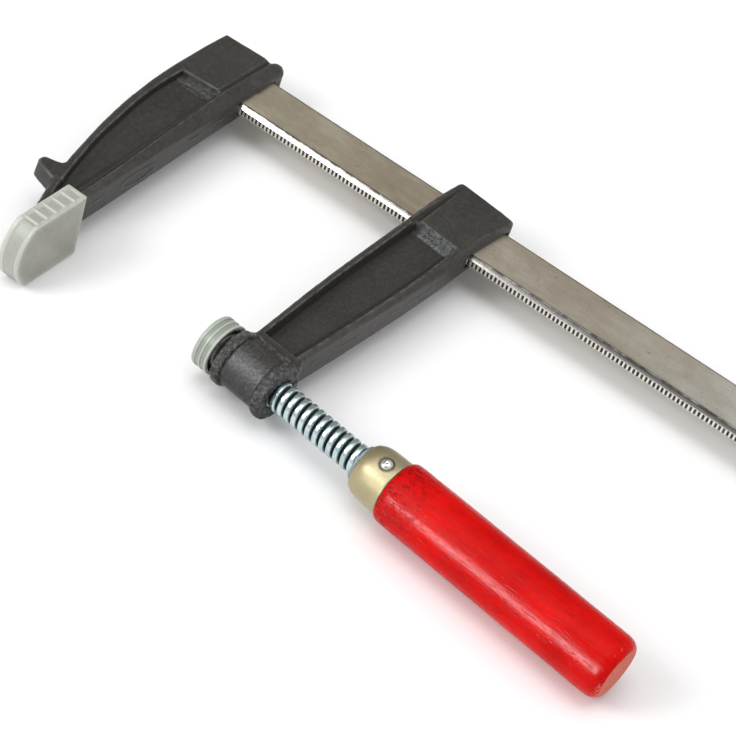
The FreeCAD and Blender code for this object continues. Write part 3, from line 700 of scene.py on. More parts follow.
def handle_material():
    mat = new_material("red_lacquered_wood")
    grain = mat.noise(scale=420, detail=4, stretch=(0.07, 1.0, 1.0), tilt=LEAN)
    pores = mat.fade(mat.noise(scale=1300, detail=2, rough=0.5, stretch=(0.12, 1, 1), tilt=LEAN),
                     over=(0.63, 0.72))
    broad = mat.noise(scale=40, rough=0.5)
    bare = mat.attribute("bare")
    col = mat.tint((0.55, 0.0020, 0.0015), (0.68, 0.0040, 0.0026),
                   by=mat.fade(broad, over=(0.35, 0.65)))
    col = mat.tint(col, (0.34, 0.0015, 0.0015), by=mat.fade(grain, over=(0.38, 0.7)), times=0.42)
    col = mat.tint(col, (0.16, 0.001, 0.001), by=pores, times=0.5)
    crinkle = mat.fade(mat.noise(scale=700, detail=4, rough=0.75, stretch=(0.55, 1, 1), tilt=LEAN),
                       over=(0.52, 0.60))
    col = mat.tint(col, (0.16, 0.001, 0.001), by=mat.times(crinkle, mat.attribute("front")),
                   times=0.85)
    col = mat.tint(col, (0.10, 0.001, 0.001), by=mat.attribute("seam"), times=0.9)
    wood = mat.tint((0.56, 0.10, 0.06), (0.64, 0.20, 0.14),
                    by=mat.fade(mat.noise(scale=700, detail=4), over=(0.3, 0.7)))
    col = mat.tint(col, wood, by=bare)
    rough = mat.fade(mat.noise(scale=200, rough=0.5), over=(0.3, 0.7), to=(0.20, 0.29))
    mat.set(Base_Color=col, Roughness=mat.total((rough, 1), (bare, 0.35)), Specular_IOR_Level=0.066)
    height = mat.total((grain, 0.6), (pores, -0.6),
                       (mat.times(crinkle, mat.attribute("front")), -1.4))
    mat.bump(height, strength=0.45, distance=0.00022)
    return mat.owner


MATERIALS = {
    "cast": cast_material(),
    "rail": rail_material(),
    "zinc": zinc_material(),
    "dark": steel_material("oiled_dark_steel", scale=700, dark=(0.10, 0.105, 0.10),
                           light=(0.19, 0.19, 0.18), metallic=0.85, rough=(0.26, 0.45)),
    "bright": steel_material("bright_rivet_steel", scale=900, dark=(0.62, 0.62, 0.60),
                             light=(0.85, 0.85, 0.83), metallic=0.95, rough=(0.14, 0.30)),
    "ferrule": ferrule_material(),
    "plastic": plastic_material(),
    "handle": handle_material(),
}


# ---------------------------------------------------------------- cast arms
def sand_cast(verts, normals, seed, rough):
    """Sand-cast skin: low swell, grain, a few pits, and lumps where rough."""
    push = (0.11 * layered_noise(verts, 9.0, seed)
            + 0.085 * layered_noise(verts, 1.7, seed + 5))
    push = push - 0.7 * np.clip(value_noise(verts, 2.3, seed + 40) - 0.68, 0, 1)
    lumps = layered_noise(verts, 2.6, seed + 9)
    holes = np.clip(value_noise(verts, 1.7, seed + 60) - 0.52, 0, 1)
    push = push + rough * (0.42 * lumps - 1.2 * holes)
    return verts + normals * push[:, None]


def parting_ridge(Y, Z, wave, centre, height, cover, seed):
    """Broken ridge of flash that runs along Y and wanders in Z."""
    line = Y[:1, :, :1]
    patches = value_noise(np.stack([line * 0, line, line * 0], -1), 9.0, seed)
    ridge = np.exp(-((Z - centre + wave) / 0.55) ** 2)
    return ridge * height * np.clip(patches + cover, 0, 1)


# outlines as (x, y), rail frame
FIXED_BACK = [  # -X edge, head to tip
    (-35.4, 34.2), (-36.2, 12.0), (-36.1, -12.3), (-34.9, -33.0), (-32.2, -55.3),
    (-27.4, -80.8), (-21.3, -106.4), (-15.0, -127.2), (-9.0, -144.0), (-5.4, -156.0)]
FIXED_EDGE = [(0.0, -158.0), (0.0, 35.6), (-7.0, 35.6)]  # +X edge, tip to head
FIXED_POCKET_BACK = [
    (-30.2, 12.0), (-30.9, -4.5), (-31.2, -25.0), (-29.8, -44.0), (-27.4, -60.0),
    (-24.6, -78.0), (-20.0, -97.5), (-15.2, -116.0), (-11.8, -127.0)]
FIXED_POCKET_EDGE = [(-3.2, -127.0), (-3.6, -92.0), (-5.6, -51.0), (-7.2, -12.0), (-7.9, 12.0)]
LUG = [
    (-20.0, -104.5), (-22.5, -107.4), (-25.4, -108.7), (-29.3, -109.7), (-30.6, -110.8),
    (-30.9, -113.8), (-29.6, -115.9), (-26.0, -117.3), (-18.6, -119.4), (-14.0, -116.0)]
BEAD_X = -4.1
STEP_SLANT = 0.083  # how much the head step slants in Y per mm of X
RAIL_GAP = 0.12  # clearance round the rail


def fixed_pocket(X, Y, abs_z):
    """Recess in both faces: side walls, the slanted step at the head, the web."""
    rim = outline_field(X, Y, spline(FIXED_POCKET_BACK, 4) + spline(FIXED_POCKET_EDGE, 4))
    depth = np.clip(ARM_HALF - abs_z, 0, None)
    slope = 0.13 + 0.60 * rise(X, -15.0, 7.0)
    past_step = Y + 5.2 + STEP_SLANT * (-7.0 - X)
    drop = np.interp(-past_step, [0.0, 0.9, 4.0, 5.3], [0.0, 2.9, 3.5, 6.6])
    step = np.maximum((depth - drop) * 0.55, past_step)
    corner = 1.0 + 5.5 * rise(depth, 2.9, 1.4)
    walls = smooth_max(rim + depth * slope + 0.2, step, corner)
    return smooth_max(walls, WEB_HALF - abs_z, 1.7)


def build_fixed_arm(cell):
    (X, Y, Z), origin = grid((-40, -170, -17.0), (4.0, 42, 17.0), cell)
    abs_z = np.abs(Z)
    # the +X edge is a fat rounded bead near the head and thins toward the tip
    outline = outline_field(X, Y, FIXED_EDGE + spline(FIXED_BACK, 5))
    radius = 1.1 + rise(X, -12.0, 9.0) * (1.3 + 2.2 * rise(Y, -110.0, 120.0))
    field = extrude(outline, Z, ARM_HALF, radius)
    # the bead ends in a knob that stands out past the head
    bead = capsule(X, Y, abs_z, (BEAD_X, 16.0, 4.5), (BEAD_X, 34.4, 4.5), 4.35)
    field = smooth_min(field, bead, 0.6)
    knob = capsule(X, Y, Z, (BEAD_X, 34.0, -4.5), (BEAD_X, 34.0, 4.5), 4.25)
    field = smooth_min(field, knob, 0.6)
    # shallow channel between the bead and the head plate
    channel = np.hypot(X + 9.1 - 0.02 * Y, (abs_z - ARM_HALF - 0.62) * 0.9) - 1.25
    field = carve(field, meet(channel, slab(Y, -7.0, 34.8)), 0.9)
    field = carve(field, fixed_pocket(X, Y, abs_z), 0.55)
    # lug on the -X edge, in the +Z half, with drafted sides
    lug = outline_field(X, Y, LUG) - 0.12 * (8.4 - Z) + 0.35
    field = smooth_min(field, extrude(lug, Z - 4.1, 4.4, 1.1), 1.4)
    # jaw plate with a rounded end
    end = np.hypot(np.clip(-(Y + 148.6), 0, None), abs_z) - 16.6
    plate = meet(Y + 127.4, abs_z - 14.1, np.where(Y < -148.6, end, -1e3), slab(X, -5.1, 3.1))
    field = smooth_min(field, plate + 0.15, 1.2)
    # parting line and an oval lap mark on the +X edge
    wave = 0.5 * np.sin(Y * 0.11) + 0.25 * np.sin(Y * 0.37 + 1.0)
    ridge = parting_ridge(Y, Z, wave, centre=1.2, height=0.46, cover=0.55, seed=11)
    on_edge = rise(X, -1.4, 1.0)
    field = field - ridge * on_edge * (Y < 26) * (Y > -122)
    oval = np.hypot((Y + 78.0) / 4.2, (Z + 0.6 + 0.05 * (Y + 78)) / 1.0)
    field = field - 0.42 * np.exp(-(np.abs(oval - 3.0) * 1.2 / 0.55) ** 2) * on_edge
    # rail opening
    opening = meet(slab(Y, -RAIL_GAP, RAIL_WIDTH + RAIL_GAP),
                   abs_z - RAIL_THICK / 2 - RAIL_GAP, -34.0 - X)
    field = carve(field, opening, 0.5)

    verts, quads, normals, curve = skin(field, origin, cell)
    x = verts[:, 0]
    band = np.clip(1 - np.abs(verts[:, 1] + 9.0) / 5.0, 0, 1) * (x < -8) * (x > -28)
    verts = sand_cast(verts, normals, seed=3, rough=0.45 * band)
    # painted highlight along the step at the head, in the pale bare-metal colour
    x = verts[:, 0]
    y = verts[:, 1] + STEP_SLANT * (-7.0 - x)
    raw = 0.34 * rise(y, -8.8, 2.0) * fall(y, -4.9, 1.2) * (x > -27.0) * (x < -8.6)
    add_part("fixed_arm_casting", rail_to_world(verts), quads, "cast", "frame", "cast_iron",
             "fixed_arm", raw=raw, curve=curve, coarse=0.5 * band)


# outlines as (x, y), screw frame; the spindle end is at y = 0 and the head at y = 175
SLIDING_EDGE = [  # +X edge
    (125.6, -2.0), (125.6, 20.0), (125.9, 70.0), (125.4, 112.0), (123.9, 140.0),
    (123.4, 152.0), (124.0, 173.0)]
SLIDING_HEAD = [(123.2, 174.7), (121.9, 175.3), (91.4, 175.4), (90.1, 174.6)]
SLIDING_BACK = [  # -X edge
    (89.7, 173.0), (89.6, 160.0), (90.5, 143.0), (92.2, 122.0), (96.2, 68.0),
    (102.2, 11.0), (103.2, -2.0)]
SLIDING_POCKET_BACK = [(93.6, 160.0), (94.4, 134.9), (96.2, 112.0), (99.1, 70.0), (104.4, 15.0)]
SLIDING_POCKET_EDGE = [
    (123.3, 15.0), (123.2, 45.0), (122.9, 80.0), (121.7, 108.0), (119.6, 134.9),
    (119.6, 160.0)]
BORE_RADIUS = 7.15
SLOT_CENTRE = (107.0, 154.6)
SLOT_TILT = math.radians(3.2)
SLOT_HALF_WIDTH, SLOT_HALF_THICK = 16.15, 3.85


def sliding_pocket(X, Y, abs_z):
    """Recess in both faces, closed by a sloping step at the head."""
    rim = outline_field(X, Y, spline(SLIDING_POCKET_BACK, 4) + spline(SLIDING_POCKET_EDGE, 4))
    depth = np.clip(ARM_HALF - abs_z, 0, None)
    slope = 0.12 + 0.50 * rise(X, 112.0, 7.0)
    step = ((Y - 134.6) + depth * 0.46) / 1.10
    walls = smooth_max(rim + depth * slope + 0.2, step, 0.8)
    return smooth_max(walls, WEB_HALF - abs_z, 1.8)


def build_sliding_arm(cell):
    (X, Y, Z), origin = grid((86, -15.5, -15.0), (132, 179, 15.0), cell)
    abs_z = np.abs(Z)
    outline = outline_field(
        X, Y, spline(SLIDING_EDGE, 5) + SLIDING_HEAD + spline(SLIDING_BACK, 5))
    # the +X edge is rounder toward the head, but tightens past the slot's middle
    near_edge = rise(X, 116.0, 8.0)
    radius = 1.2 + near_edge * (0.9 + 1.9 * rise(Y, 30.0, 110.0))
    radius = np.where(Y > 150, radius * (1 - 0.55 * near_edge * rise(Y, 150, 14)), radius)
    field = extrude(outline, Z, ARM_HALF, radius)
    field = carve(field, sliding_pocket(X, Y, abs_z), 0.5)
    # the -X rim runs on past the step beside a groove that fades toward the corner
    t = rise(Y, 133.0, 36.0)
    groove = (np.hypot((X - (94.6 - 1.6 * t)) * 0.9, (abs_z - ARM_HALF - 0.2) * 0.9)
              - 1.75 * (1 - t) ** 0.6)
    field = carve(field, meet(groove, slab(Y, 131.0, 168.5)), 1.1)
    # spindle boss with a collar at each end
    from_axis = np.hypot(Y, Z)
    boss = meet(from_axis - 11.9, slab(X, 101.2, 128.9))
    for collar_radius, middle, half in ((13.5, 103.3, 2.4), (13.4, 126.7, 2.6)):
        boss = smooth_min(boss, extrude(from_axis - collar_radius, X - middle, half, 1.1), 0.9)
    field = smooth_min(field, boss, 2.4)
    # the +X edge dies into its collar as a small lump
    lump = capsule(X, Y, abs_z, (125.6, 14.0, 5.2), (126.4, 11.0, 6.0), 2.2)
    field = smooth_min(field, lump, 1.5)
    field = carve(field, from_axis - BORE_RADIUS, 0.7)
    # slot for the rail, turned in the head
    across = (-(X - SLOT_CENTRE[0]) * math.sin(SLOT_TILT)
              + (Y - SLOT_CENTRE[1]) * math.cos(SLOT_TILT))
    slot = meet(np.abs(across) - SLOT_HALF_WIDTH, abs_z - SLOT_HALF_THICK)
    field = carve(field, slot, 0.6)
    # parting line on the +X edge
    wave = 0.5 * np.sin(Y * 0.13 + 0.6)
    ridge = parting_ridge(Y, Z, wave, centre=0.6, height=0.30, cover=0.5, seed=13)
    field = field - ridge * rise(X, 123.2, 1.0) * (Y < 134) * (Y > 16)

    verts, quads, normals, curve = skin(field, origin, cell)
    x, y = verts[:, 0], verts[:, 1]
    radii = off_axis(verts)
    # coarse patches: round the collars, on their end faces, and on the head step
    rough = (rise(radii, 12.0, 0.8) * (radii < 14.5) * (x > 100) * (x < 131)
             * fall(y, 14, 3))
    face = (np.abs(normals[:, 0]) > 0.8) * (radii < 14.0) * (radii > 7.3) * (y < 12)
    step = (rise(y, 130.6, 0.8) * fall(y, 135.2, 0.6) * rise(x, 98.6, 0.5)
            * fall(x, 118.9, 0.5) * (np.abs(normals[:, 1]) > 0.2))
    verts = sand_cast(verts, normals, seed=9, rough=np.clip(rough + 0.7 * face + 0.5 * step, 0, 1))
    x = verts[:, 0]
    patches = np.clip(value_noise(verts, 1.2, 77) * 2.0 - 0.2, 0, 1)
    # the head step is pale as bare metal and also as a painted highlight where it catches the light;
    # the collar patches are bare metal
    raw = np.maximum(step, 0.6 * np.maximum(rough, face) * patches)
    sheen = fall(x, 131.0, 2) * rise(x, 100, 2) * fall(radii, 15.5, 1.5)
    coarse = np.clip(rough + 0.8 * face + 0.5 * step + 0.28 * sheen, 0, 1)
    # the boss's downward-facing side is marked for less specular: painted shade
    add_part("sliding_arm_casting", screw_to_world(verts), quads, "cast", "slider", "cast_iron",
             "sliding_arm", matte=sheen * fall(normals[:, 2], 0.42, 0.55), raw=raw, curve=curve,
             sheen=sheen, coarse=coarse)


build_fixed_arm(ARM_CELL)
build_sliding_arm(ARM_CELL)

# --------------------------------------------------------------------- rail
CHAMFER, BREAK = 1.8, 0.20  # corner chamfer, and the rounding of its two edges
TEETH, FIRST_TOOTH, TOOTH_PITCH, TOOTH_DEPTH = 160, 2.0, 2.22, 0.52


def rail_section(push):
    """Section as (y, z), with the y = 0 edge pushed in."""
    half = RAIL_THICK / 2
    flat = half - CHAMFER - BREAK  # half height of the flat edge
    quarter = [
        (CHAMFER + 1.2, half), (CHAMFER + BREAK, half),
        (CHAMFER + BREAK * 0.35, half - BREAK * 0.18), (CHAMFER - BREAK * 0.5, half - BREAK * 0.8),
        (BREAK * 0.8, half - CHAMFER + BREAK * 0.5),
        (BREAK * 0.18, half - CHAMFER - BREAK * 0.35), (0.0, flat)]
    back = quarter[::-1]
    edge = [(push, flat - 0.14), (push, 0.6), (push, -0.6), (push, -(flat - 0.14))]
    return (quarter + edge + [(y, -z) for y, z in back]
            + [(RAIL_WIDTH - y, -z) for y, z in quarter] + [(RAIL_WIDTH - y, z) for y, z in back])


def build_rail():
    """Bar with broken corners and cross notches along its y = 0 edge."""
    stations = [(RAIL_START, 0.0)]  # x and how far the edge is pushed in
    for k in range(TEETH):
        wobble = 0.06 * math.sin(k * 12.9898) + 0.03 * math.sin(k * 4.1)
        centre = FIRST_TOOTH + k * TOOTH_PITCH + wobble
        depth = TOOTH_DEPTH * (1 + 0.10 * math.sin(k * 7.77))
        stations += [(centre + offset, push) for offset, push in (
            (-0.72, 0.0), (-0.60, 0.10), (-0.40, depth * 0.92), (0.0, depth),
            (0.40, depth * 0.92), (0.60, 0.10), (0.72, 0.0))]
    stations.append((RAIL_END, 0.0))
    verts = np.array([(x, y, z) for x, push in stations for y, z in rail_section(push)])
    size, rings = len(rail_section(0.0)), len(stations)
    pushes = np.repeat([push for _, push in stations], size)
    y, abs_z = verts[:, 1], np.abs(verts[:, 2])
    half = RAIL_THICK / 2
    # the notches are marked for painted shade, the broken corners for a darker line
    notch = rise(pushes, 0.06, 0.2) * (y < 0.9) * (abs_z < half - CHAMFER - BREAK - 0.02)
    corner = (abs_z > half - 0.20) * ((np.abs(y - CHAMFER) < 0.26)
                                      | (np.abs(RAIL_WIDTH - y - CHAMFER) < 0.26))
    faces = [tuple(quad) for quad in ring_quads(rings, size)]
    faces.append(tuple(reversed(range(size))))
    faces.append(tuple(range((rings - 1) * size, rings * size)))
    add_part("rail_bar", rail_to_world(verts), faces, "rail", "frame", "rail_steel", "rail",
             sharp=4, notch=notch, corner=corner)


build_rail()

# ------------------------------------------------------------------ spindle
THREAD_RADIUS, THREAD_PITCH, THREAD_DEPTH = 7.0, 4.0, 1.9
THREAD_START, THREAD_END = 101.6, 176.6
NECK_X = 99.4  # where the ball's neck starts; the thread's phase is counted from here


def thread_groove(phase):
    """Depth of the groove at a phase 0..1 from its middle."""
    x = np.abs((phase + 0.5) % 1.0 - 0.5) * THREAD_PITCH
    t = rise(x, 0.34, 0.92 - 0.34)
    t = t * t * (3 - 2 * t)
    crest = rise(x, 0.85, 0.8)
    return (1 - t) * THREAD_DEPTH + 0.14 * (1 - crest) ** 2 * t


def cut_thread(X, R, angle):
    groove = thread_groove((X - NECK_X) / THREAD_PITCH - angle / (2 * math.pi))
    run_out = fall(X, THREAD_END - 0.1, 0.8) * rise(X, THREAD_START - 0.2, 1.5)
    threaded = (X >= THREAD_START) & (X <= THREAD_END) & (np.abs(R - THREAD_RADIUS) < 1e-6)
    cut = THREAD_RADIUS - groove * np.where(X > THREAD_END - 1.2, run_out, 1.0)
    lead_in = 5.4 + 1.6 * rise(X, THREAD_START, 1.6)
    return X, np.where(threaded, np.minimum(cut, lead_in), R)


def build_spindle():
    count = int((THREAD_END - THREAD_START) / (0.16))
    profile = ([(92.62, 0.15)] + arc(BALL_X, 0, BALL_RADIUS, 176, 45, 20)
               + [(NECK_X, 2.6), (101.2, 2.6), (101.5, 5.2)])
    profile += [(THREAD_START + (THREAD_END - THREAD_START) * k / count, THREAD_RADIUS)
                for k in range(count + 1)]
    profile += [(176.65, 8.3), (176.9, 8.6), (178.0, 8.6), (FERRULE_START, 8.4),
                (FERRULE_START, 5.0), (234.0, 5.0), (236.0, 3.5)]
    verts, faces = lathe(profile, 96, cut_thread)
    x, radii = verts[:, 0], off_axis(verts)
    # painted shade: the thread roots, and the collar next to the ferrule
    root = fall(radii, 6.62, 0.55) * (x > 101.5) * (x < 176.5)
    root = np.maximum(root, 0.55 * (x > 176.58) * (x < 178.29))
    ripple = 0.02 * layered_noise(verts, 2.0, 21, 2)
    verts[:, 1:] += ripple[:, None] * verts[:, 1:] / (radii[:, None] + 1e-6)
    add_part("spindle_screw", screw_to_world(verts, True), faces, "zinc", "screw", "zinc_steel",
             "spindle", sharp=50, root=root)


build_spindle()


# ------------------------------------------------------------------ ferrule
def build_ferrule():
    """Hollow cup, open toward the handle, with a dark ring round each pin head."""
    start, end, radius = FERRULE_START, FERRULE_END, FERRULE_RADIUS
    inside = radius - 1.3
    outer = [(start, 5.05), (start, 8.6)] + arc(start + 2.6, 8.9, 2.6, 180, 118, 6)[1:]
    outer += spline([(start + 2.2, 11.6), (start + 3.6, 12.2), (start + 6.0, 12.72),
                     (start + 9.5, 12.95), (start + 12.5, radius)], 5)
    outer += [(end - 0.55, radius), (end - 0.2, radius - 0.1), (end, radius - 0.4), (end, inside)]
    inner = [(start + 7.2, inside), (start + 3.2, 11.0), (start + 1.6, 9.2), (start + 1.4, 5.05)]

    def uneven(X, R, angle):
        return X, R + 0.03 * layered_noise(round_points(X, R, angle), 7.0, 31, 2)

    verts, faces = lathe(dense(outer + inner, 0.8), 144, uneven, loop=True)
    off_ring = np.abs(np.hypot(verts[:, 0] - PIN_X, verts[:, 1]) - 3.05)
    ring = fall(off_ring, 0.75, 0.35) * 0.85 * (np.abs(verts[:, 2]) > 10)
    add_part("ferrule_cup", screw_to_world(verts, True), faces, "ferrule", "screw",
             "yellow_zinc", "ferrule", sharp=45, ring=ring)


build_ferrule()

PIN_RADIUS = 2.0
PIN_HEAD = [  # (x, radius) of the head at the low end
    (-14.05, 0.12), (-14.10, 0.8), (-14.02, 1.3), (-13.75, 1.9), (-13.3, 2.45),
    (-12.9, 2.7), (-12.72, 2.6), (-12.6, PIN_RADIUS)]


def build_cross_pin():
    """Riveted pin across the ferrule: two upset heads with a dimple."""
    profile = PIN_HEAD + [(12.6, PIN_RADIUS)] + [(-x, r) for x, r in reversed(PIN_HEAD[:-1])]
    verts, faces = lathe(dense(profile, 0.5), 48)
    along = verts[:, 0]
    verts = np.stack([verts[:, 1] + PIN_X, verts[:, 2], along], -1)
    verts += 0.04 * layered_noise(verts, 1.4, 8, 2)[:, None] * (np.abs(along) > 12.5)[:, None]
    add_part("cross_pin_rivet", screw_to_world(verts, True), faces, "bright", "screw",
             "plain_steel", "cross_pin")


build_cross_pin()

# ------------------------------------------------------------------- handle
HANDLE_RADIUS, HANDLE_END = 14.75, 314.2
HANDLE_NOISE_RADIUS = 15  # radius of the cylinder the surface noise is read on


def handle_surface(X, R, angle):
    """Ripples along the grain, broad unevenness from the lathe, and long pits."""
    long_points = round_points(X * 0.045, HANDLE_NOISE_RADIUS, angle)
    points = round_points(X, HANDLE_NOISE_RADIUS, angle)
    push = (0.055 * layered_noise(long_points, 1.1, 71) + 0.09 * value_noise(points, 16.0, 72)
            + 0.06 * fall(X, 216, 14) * layered_noise(points, 1.5, 79))
    pit_points = round_points(X * 0.35, HANDLE_NOISE_RADIUS, angle)
    pits = np.clip(value_noise(pit_points, 1.3, 75) - 0.70, 0, 1)
    end_grain = 0.05 * layered_noise(round_points(X * 0, R, angle), 1.2, 77)
    return (X + np.where((X > 313.9) & (R < 11.2), end_grain, 0),
            R + np.where(R > 12.5, push - 0.35 * pits, 0))


def build_handle():
    profile = [(180.2, 5.05), (180.2, 8.0), (184.0, 11.4), (195.0, 11.6), (195.45, 12.6),
               (195.5, 13.0)]
    profile += spline([(195.7, 13.5), (196.2, 14.05), (197.2, 14.45), (198.8, 14.68),
                       (201.0, HANDLE_RADIUS)], 5)
    profile += [(204.0, HANDLE_RADIUS), (305.0, HANDLE_RADIUS)]
    profile += spline([(307.5, HANDLE_RADIUS), (309.6, 14.6), (311.3, 14.15), (312.7, 13.4),
                       (313.6, 12.5), (314.05, 11.7)], 5)
    profile += [(HANDLE_END, 11.3), (HANDLE_END, 8.0), (HANDLE_END, 4.0), (HANDLE_END, 0.3)]
    verts, faces = lathe(dense(profile, 0.9), 220, handle_surface)
    x, radii = verts[:, 0], off_axis(verts)
    # bare wood on the far end, and chips in the lacquer round it
    lacquer_edge = 11.6 + 0.5 * value_noise(verts, 3.0, 90)
    bare = ((x > 313.5) & (radii < lacquer_edge)).astype(float)
    chips = (rise(layered_noise(verts, 1.5, 93, 2), 0.22, 0.12) * rise(x, 310.4, 1.5)
             * (value_noise(verts, 7.0, 94) > 0.05))
    bare = np.maximum(bare, 0.8 * chips * (radii > 11.0))
    add_part("handle_turning", screw_to_world(verts, True), faces, "handle", "screw",
             "handle_wood", "handle", bare=bare, front=np.clip((222.0 - x) / 24.0, 0.12, 1),
             seam=fall(x, 196.1, 0.5))


build_handle()

# ---------------------------------------------------------------- screw pad
PAD_RADIUS, PAD_FACE, PAD_RIM = 12.7, 89.5, 97.9  # the face is the -X end
SOCKET_RADIUS = 3.86


def build_pad_cap():
    """Soft cup with two sunk bands round its wall."""
    radius, sunk, lip = PAD_RADIUS, PAD_RADIUS - 0.5, PAD_RADIUS - 0.08
    profile = [(PAD_FACE, 0.2), (PAD_FACE, 6.0), (PAD_FACE, radius - 1.0)]
    profile += arc(PAD_FACE + 0.7, radius - 0.7, 0.7, 180, 90, 5)[1:]
    profile += [(91.3, radius), (91.5, radius - 0.1), (91.7, sunk), (93.3, sunk), (93.5, lip),
                (94.3, lip), (94.5, sunk), (96.4, sunk), (96.6, radius - 0.1), (96.9, radius),
                (PAD_RIM - 0.5, radius)]
    profile += arc(PAD_RIM - 0.45, radius - 0.45, 0.45, 90, 0, 4)[1:]
    profile += [(PAD_RIM, radius - 1.3), (PAD_RIM - 0.15, radius - 1.75),
                (PAD_RIM - 0.7, radius - 1.95), (PAD_RIM - 1.8, radius - 1.85),
                (91.4, radius - 1.9), (91.4, 0.2)]

    def uneven(X, R, angle):
        return X, R + 0.05 * value_noise(round_points(X, R, angle), 8.0, 51) * (R > 5)

    verts, faces = lathe(dense(profile, 0.5), 144, uneven)
    x, radii = verts[:, 0], off_axis(verts)
    add_part("pad_cap_moulding", screw_to_world(verts), faces, "plastic", "pad", "jaw_plastic",
             "pad_cap", sharp=50,
             # the outer rim gets a painted highlight
             edge=1.1 * ((radii > radius - 0.25) & (x > 92.5)),
             thin=(radii > radius - 1.0) & (radii < radius - 0.3) & (x > 91.4) & (x < 96.7),
             pale=(x < 91.6) & (radii > radius - 2.0),
             # the inside of the cup gets painted shade
             inner=(radii < radius - 1.5) & (x > 91.0),
             dim=np.ones(len(verts)))


def build_pressure_plate():
    """Steel disc in the cup, with a socket round the spindle's ball."""
    profile = [(91.42, 0.2), (91.42, 10.0), (91.7, 10.6), (92.1, 10.74), (94.4, 10.74),
               (94.95, 10.4), (95.2, 9.9), (95.25, 9.1)]
    profile += spline([(95.5, 8.9), (96.6, 8.75), (97.8, 8.2), (99.2, 6.8), (100.2, 5.1)], 5)
    profile += [(100.3, 4.8), (100.3, 3.7), (100.15, 3.6), (99.6, 3.6), (99.6, 5.15),
                (97.7, 5.15), (97.7, 3.9)]
    profile += arc(BALL_X, 0, SOCKET_RADIUS, 90, 171, 9) + [(BALL_X - SOCKET_RADIUS, 0.2)]
    verts, faces = lathe(dense(profile, 0.6), 112)
    verts[:, 0] += 0.03 * layered_noise(verts, 2.0, 61, 2)
    add_part("pressure_plate_disc", screw_to_world(verts), faces, "dark", "pad", "plain_steel",
             "pressure_plate", sharp=40)


build_pad_cap()
build_pressure_plate()

# small CAD pieces that keep their own mesh
for piece, finish in (("socket_ring", "dark"), ("fixed_arm_dowels", "dark"),
                      ("rail_stop_pin", "bright")):
    slots = frame["nodes"][piece].data.materials
    slots.clear()
    slots.append(MATERIALS[finish])

# ----------------------------------------------------------------- jaw shoe
SHOE_OUTER = (21.25, 16.5, 9.0)  # half length in Y, half width in Z, sag of the -Y end
SHOE_INNER = (18.95, 14.3, 8.1)
SHOE_HALF_DEPTH = 5.5
RIB_PITCH = 6.05


def shoe_field(Y, Z, half_y, half_z, sag):
    """Outline square at +Y and arched at -Y."""
    radius = (half_z * half_z + sag * sag) / (2 * sag)
    centre = -half_y + radius
    end = np.hypot(Y - centre, np.where(Z < 0, Z / 1.07, Z)) - radius
    sides = meet(Z - half_z, -half_z - 0.35 - Z, Y - half_y)
    return np.where(Y < centre, np.maximum(sides, end), sides)


def build_jaw_shoe(cell):
    """Soft shoe: face at x = 0, ribbed wall, open at -X and through the +Y wall."""
    (X, Y, Z), origin = grid((-12.5, -23.5, -19.0), (2.0, 23.5, 19.0), cell)
    abs_z = np.abs(Z)
    outline = shoe_field(Y, Z, *SHOE_OUTER)
    body = extrude(outline, X + SHOE_HALF_DEPTH, SHOE_HALF_DEPTH, 0.7)
    # the wall is sunk between the face flange and the -X rim, and bridged by ribs
    off_rib = np.abs(((Y - 14.5) / RIB_PITCH + 0.5) % 1.0 - 0.5) * RIB_PITCH
    off_rib = np.where((Y < -11.6) | (Y > 17.6), 9.0, off_rib)
    sunk = meet(-(outline + 0.5), slab(X, -8.5, -2.0), 0.65 - off_rib, Y - 19.3)
    body = carve(body, sunk, 0.45)
    ribs = meet(off_rib - 0.55, slab(abs_z, 14.6, 16.75), slab(X, -10.2, -1.5),
                slab(Y, -11.6, 16.0))
    body = smooth_min(body, ribs, 0.45)
    body = carve(body, meet(shoe_field(Y, Z, *SHOE_INNER), X + 2.2), 0.35)
    mouth = meet(abs_z - 8.75, 17.0 - Y, X + 5.3)
    body = carve(body, mouth, 0.35)

    verts, quads, normals, curve = skin(body, origin, cell)
    x = verts[:, 0]
    off_edge = shoe_field(verts[:, 1], verts[:, 2], *SHOE_OUTER)
    wall = (x < -0.6) & (off_edge > -1.2)
    thin = 0.75 * ((x < -2.4) & (x > -8.2) & (off_edge < -0.32) & (off_edge > -0.9))
    pale = np.maximum(0.62 * wall, 0.72 * rise(off_edge, -3.2, 3.0))
    verts = verts + normals * (0.05 * layered_noise(verts, 10.0, 44, 2))[:, None]
    # the convex edges get a painted highlight
    add_part("fixed_jaw_shoe", verts * MILLI, quads, "plastic", "frame", "jaw_plastic",
             "fixed_jaw_cap", edge=0.9 * rise(curve, 0.35, 0.8), thin=thin, pale=pale)


build_jaw_shoe(SHOE_CELL)

# -------------------------------------------------------------- stage, metres
FLOOR_HALF, FLOOR_DROP = 6.0, 0.0005
LIGHT_TARGET = (0.14, 0.02, 0.0)
STRIP_PLACE, STRIP_TARGET = (0.089, -0.870, 0.208), (0.240, -0.0075, 0.0)


def build_floor():
    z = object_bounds()[0].z - FLOOR_DROP
    mesh = bpy.data.meshes.new("floor")
    corners = [(x * FLOOR_HALF, y * FLOOR_HALF, z) for x, y in ((-1, -1), (1, -1), (1, 1), (-1, 1))]
    mesh.from_pydata(corners, [], [(0, 1, 2, 3)])
    floor = bpy.data.objects.new("floor", mesh)
    bpy.context.scene.collection.objects.link(floor)
    mat = new_material("studio_floor")
    cloud = mat.noise(scale=3.0, detail=2, rough=0.5)
    mat.set(Base_Color=mat.tint((0.93, 0.93, 0.928), (0.95, 0.95, 0.948), by=cloud),
            Roughness=0.8, Specular_IOR_Level=0.08)
    mesh.materials.append(mat.owner)


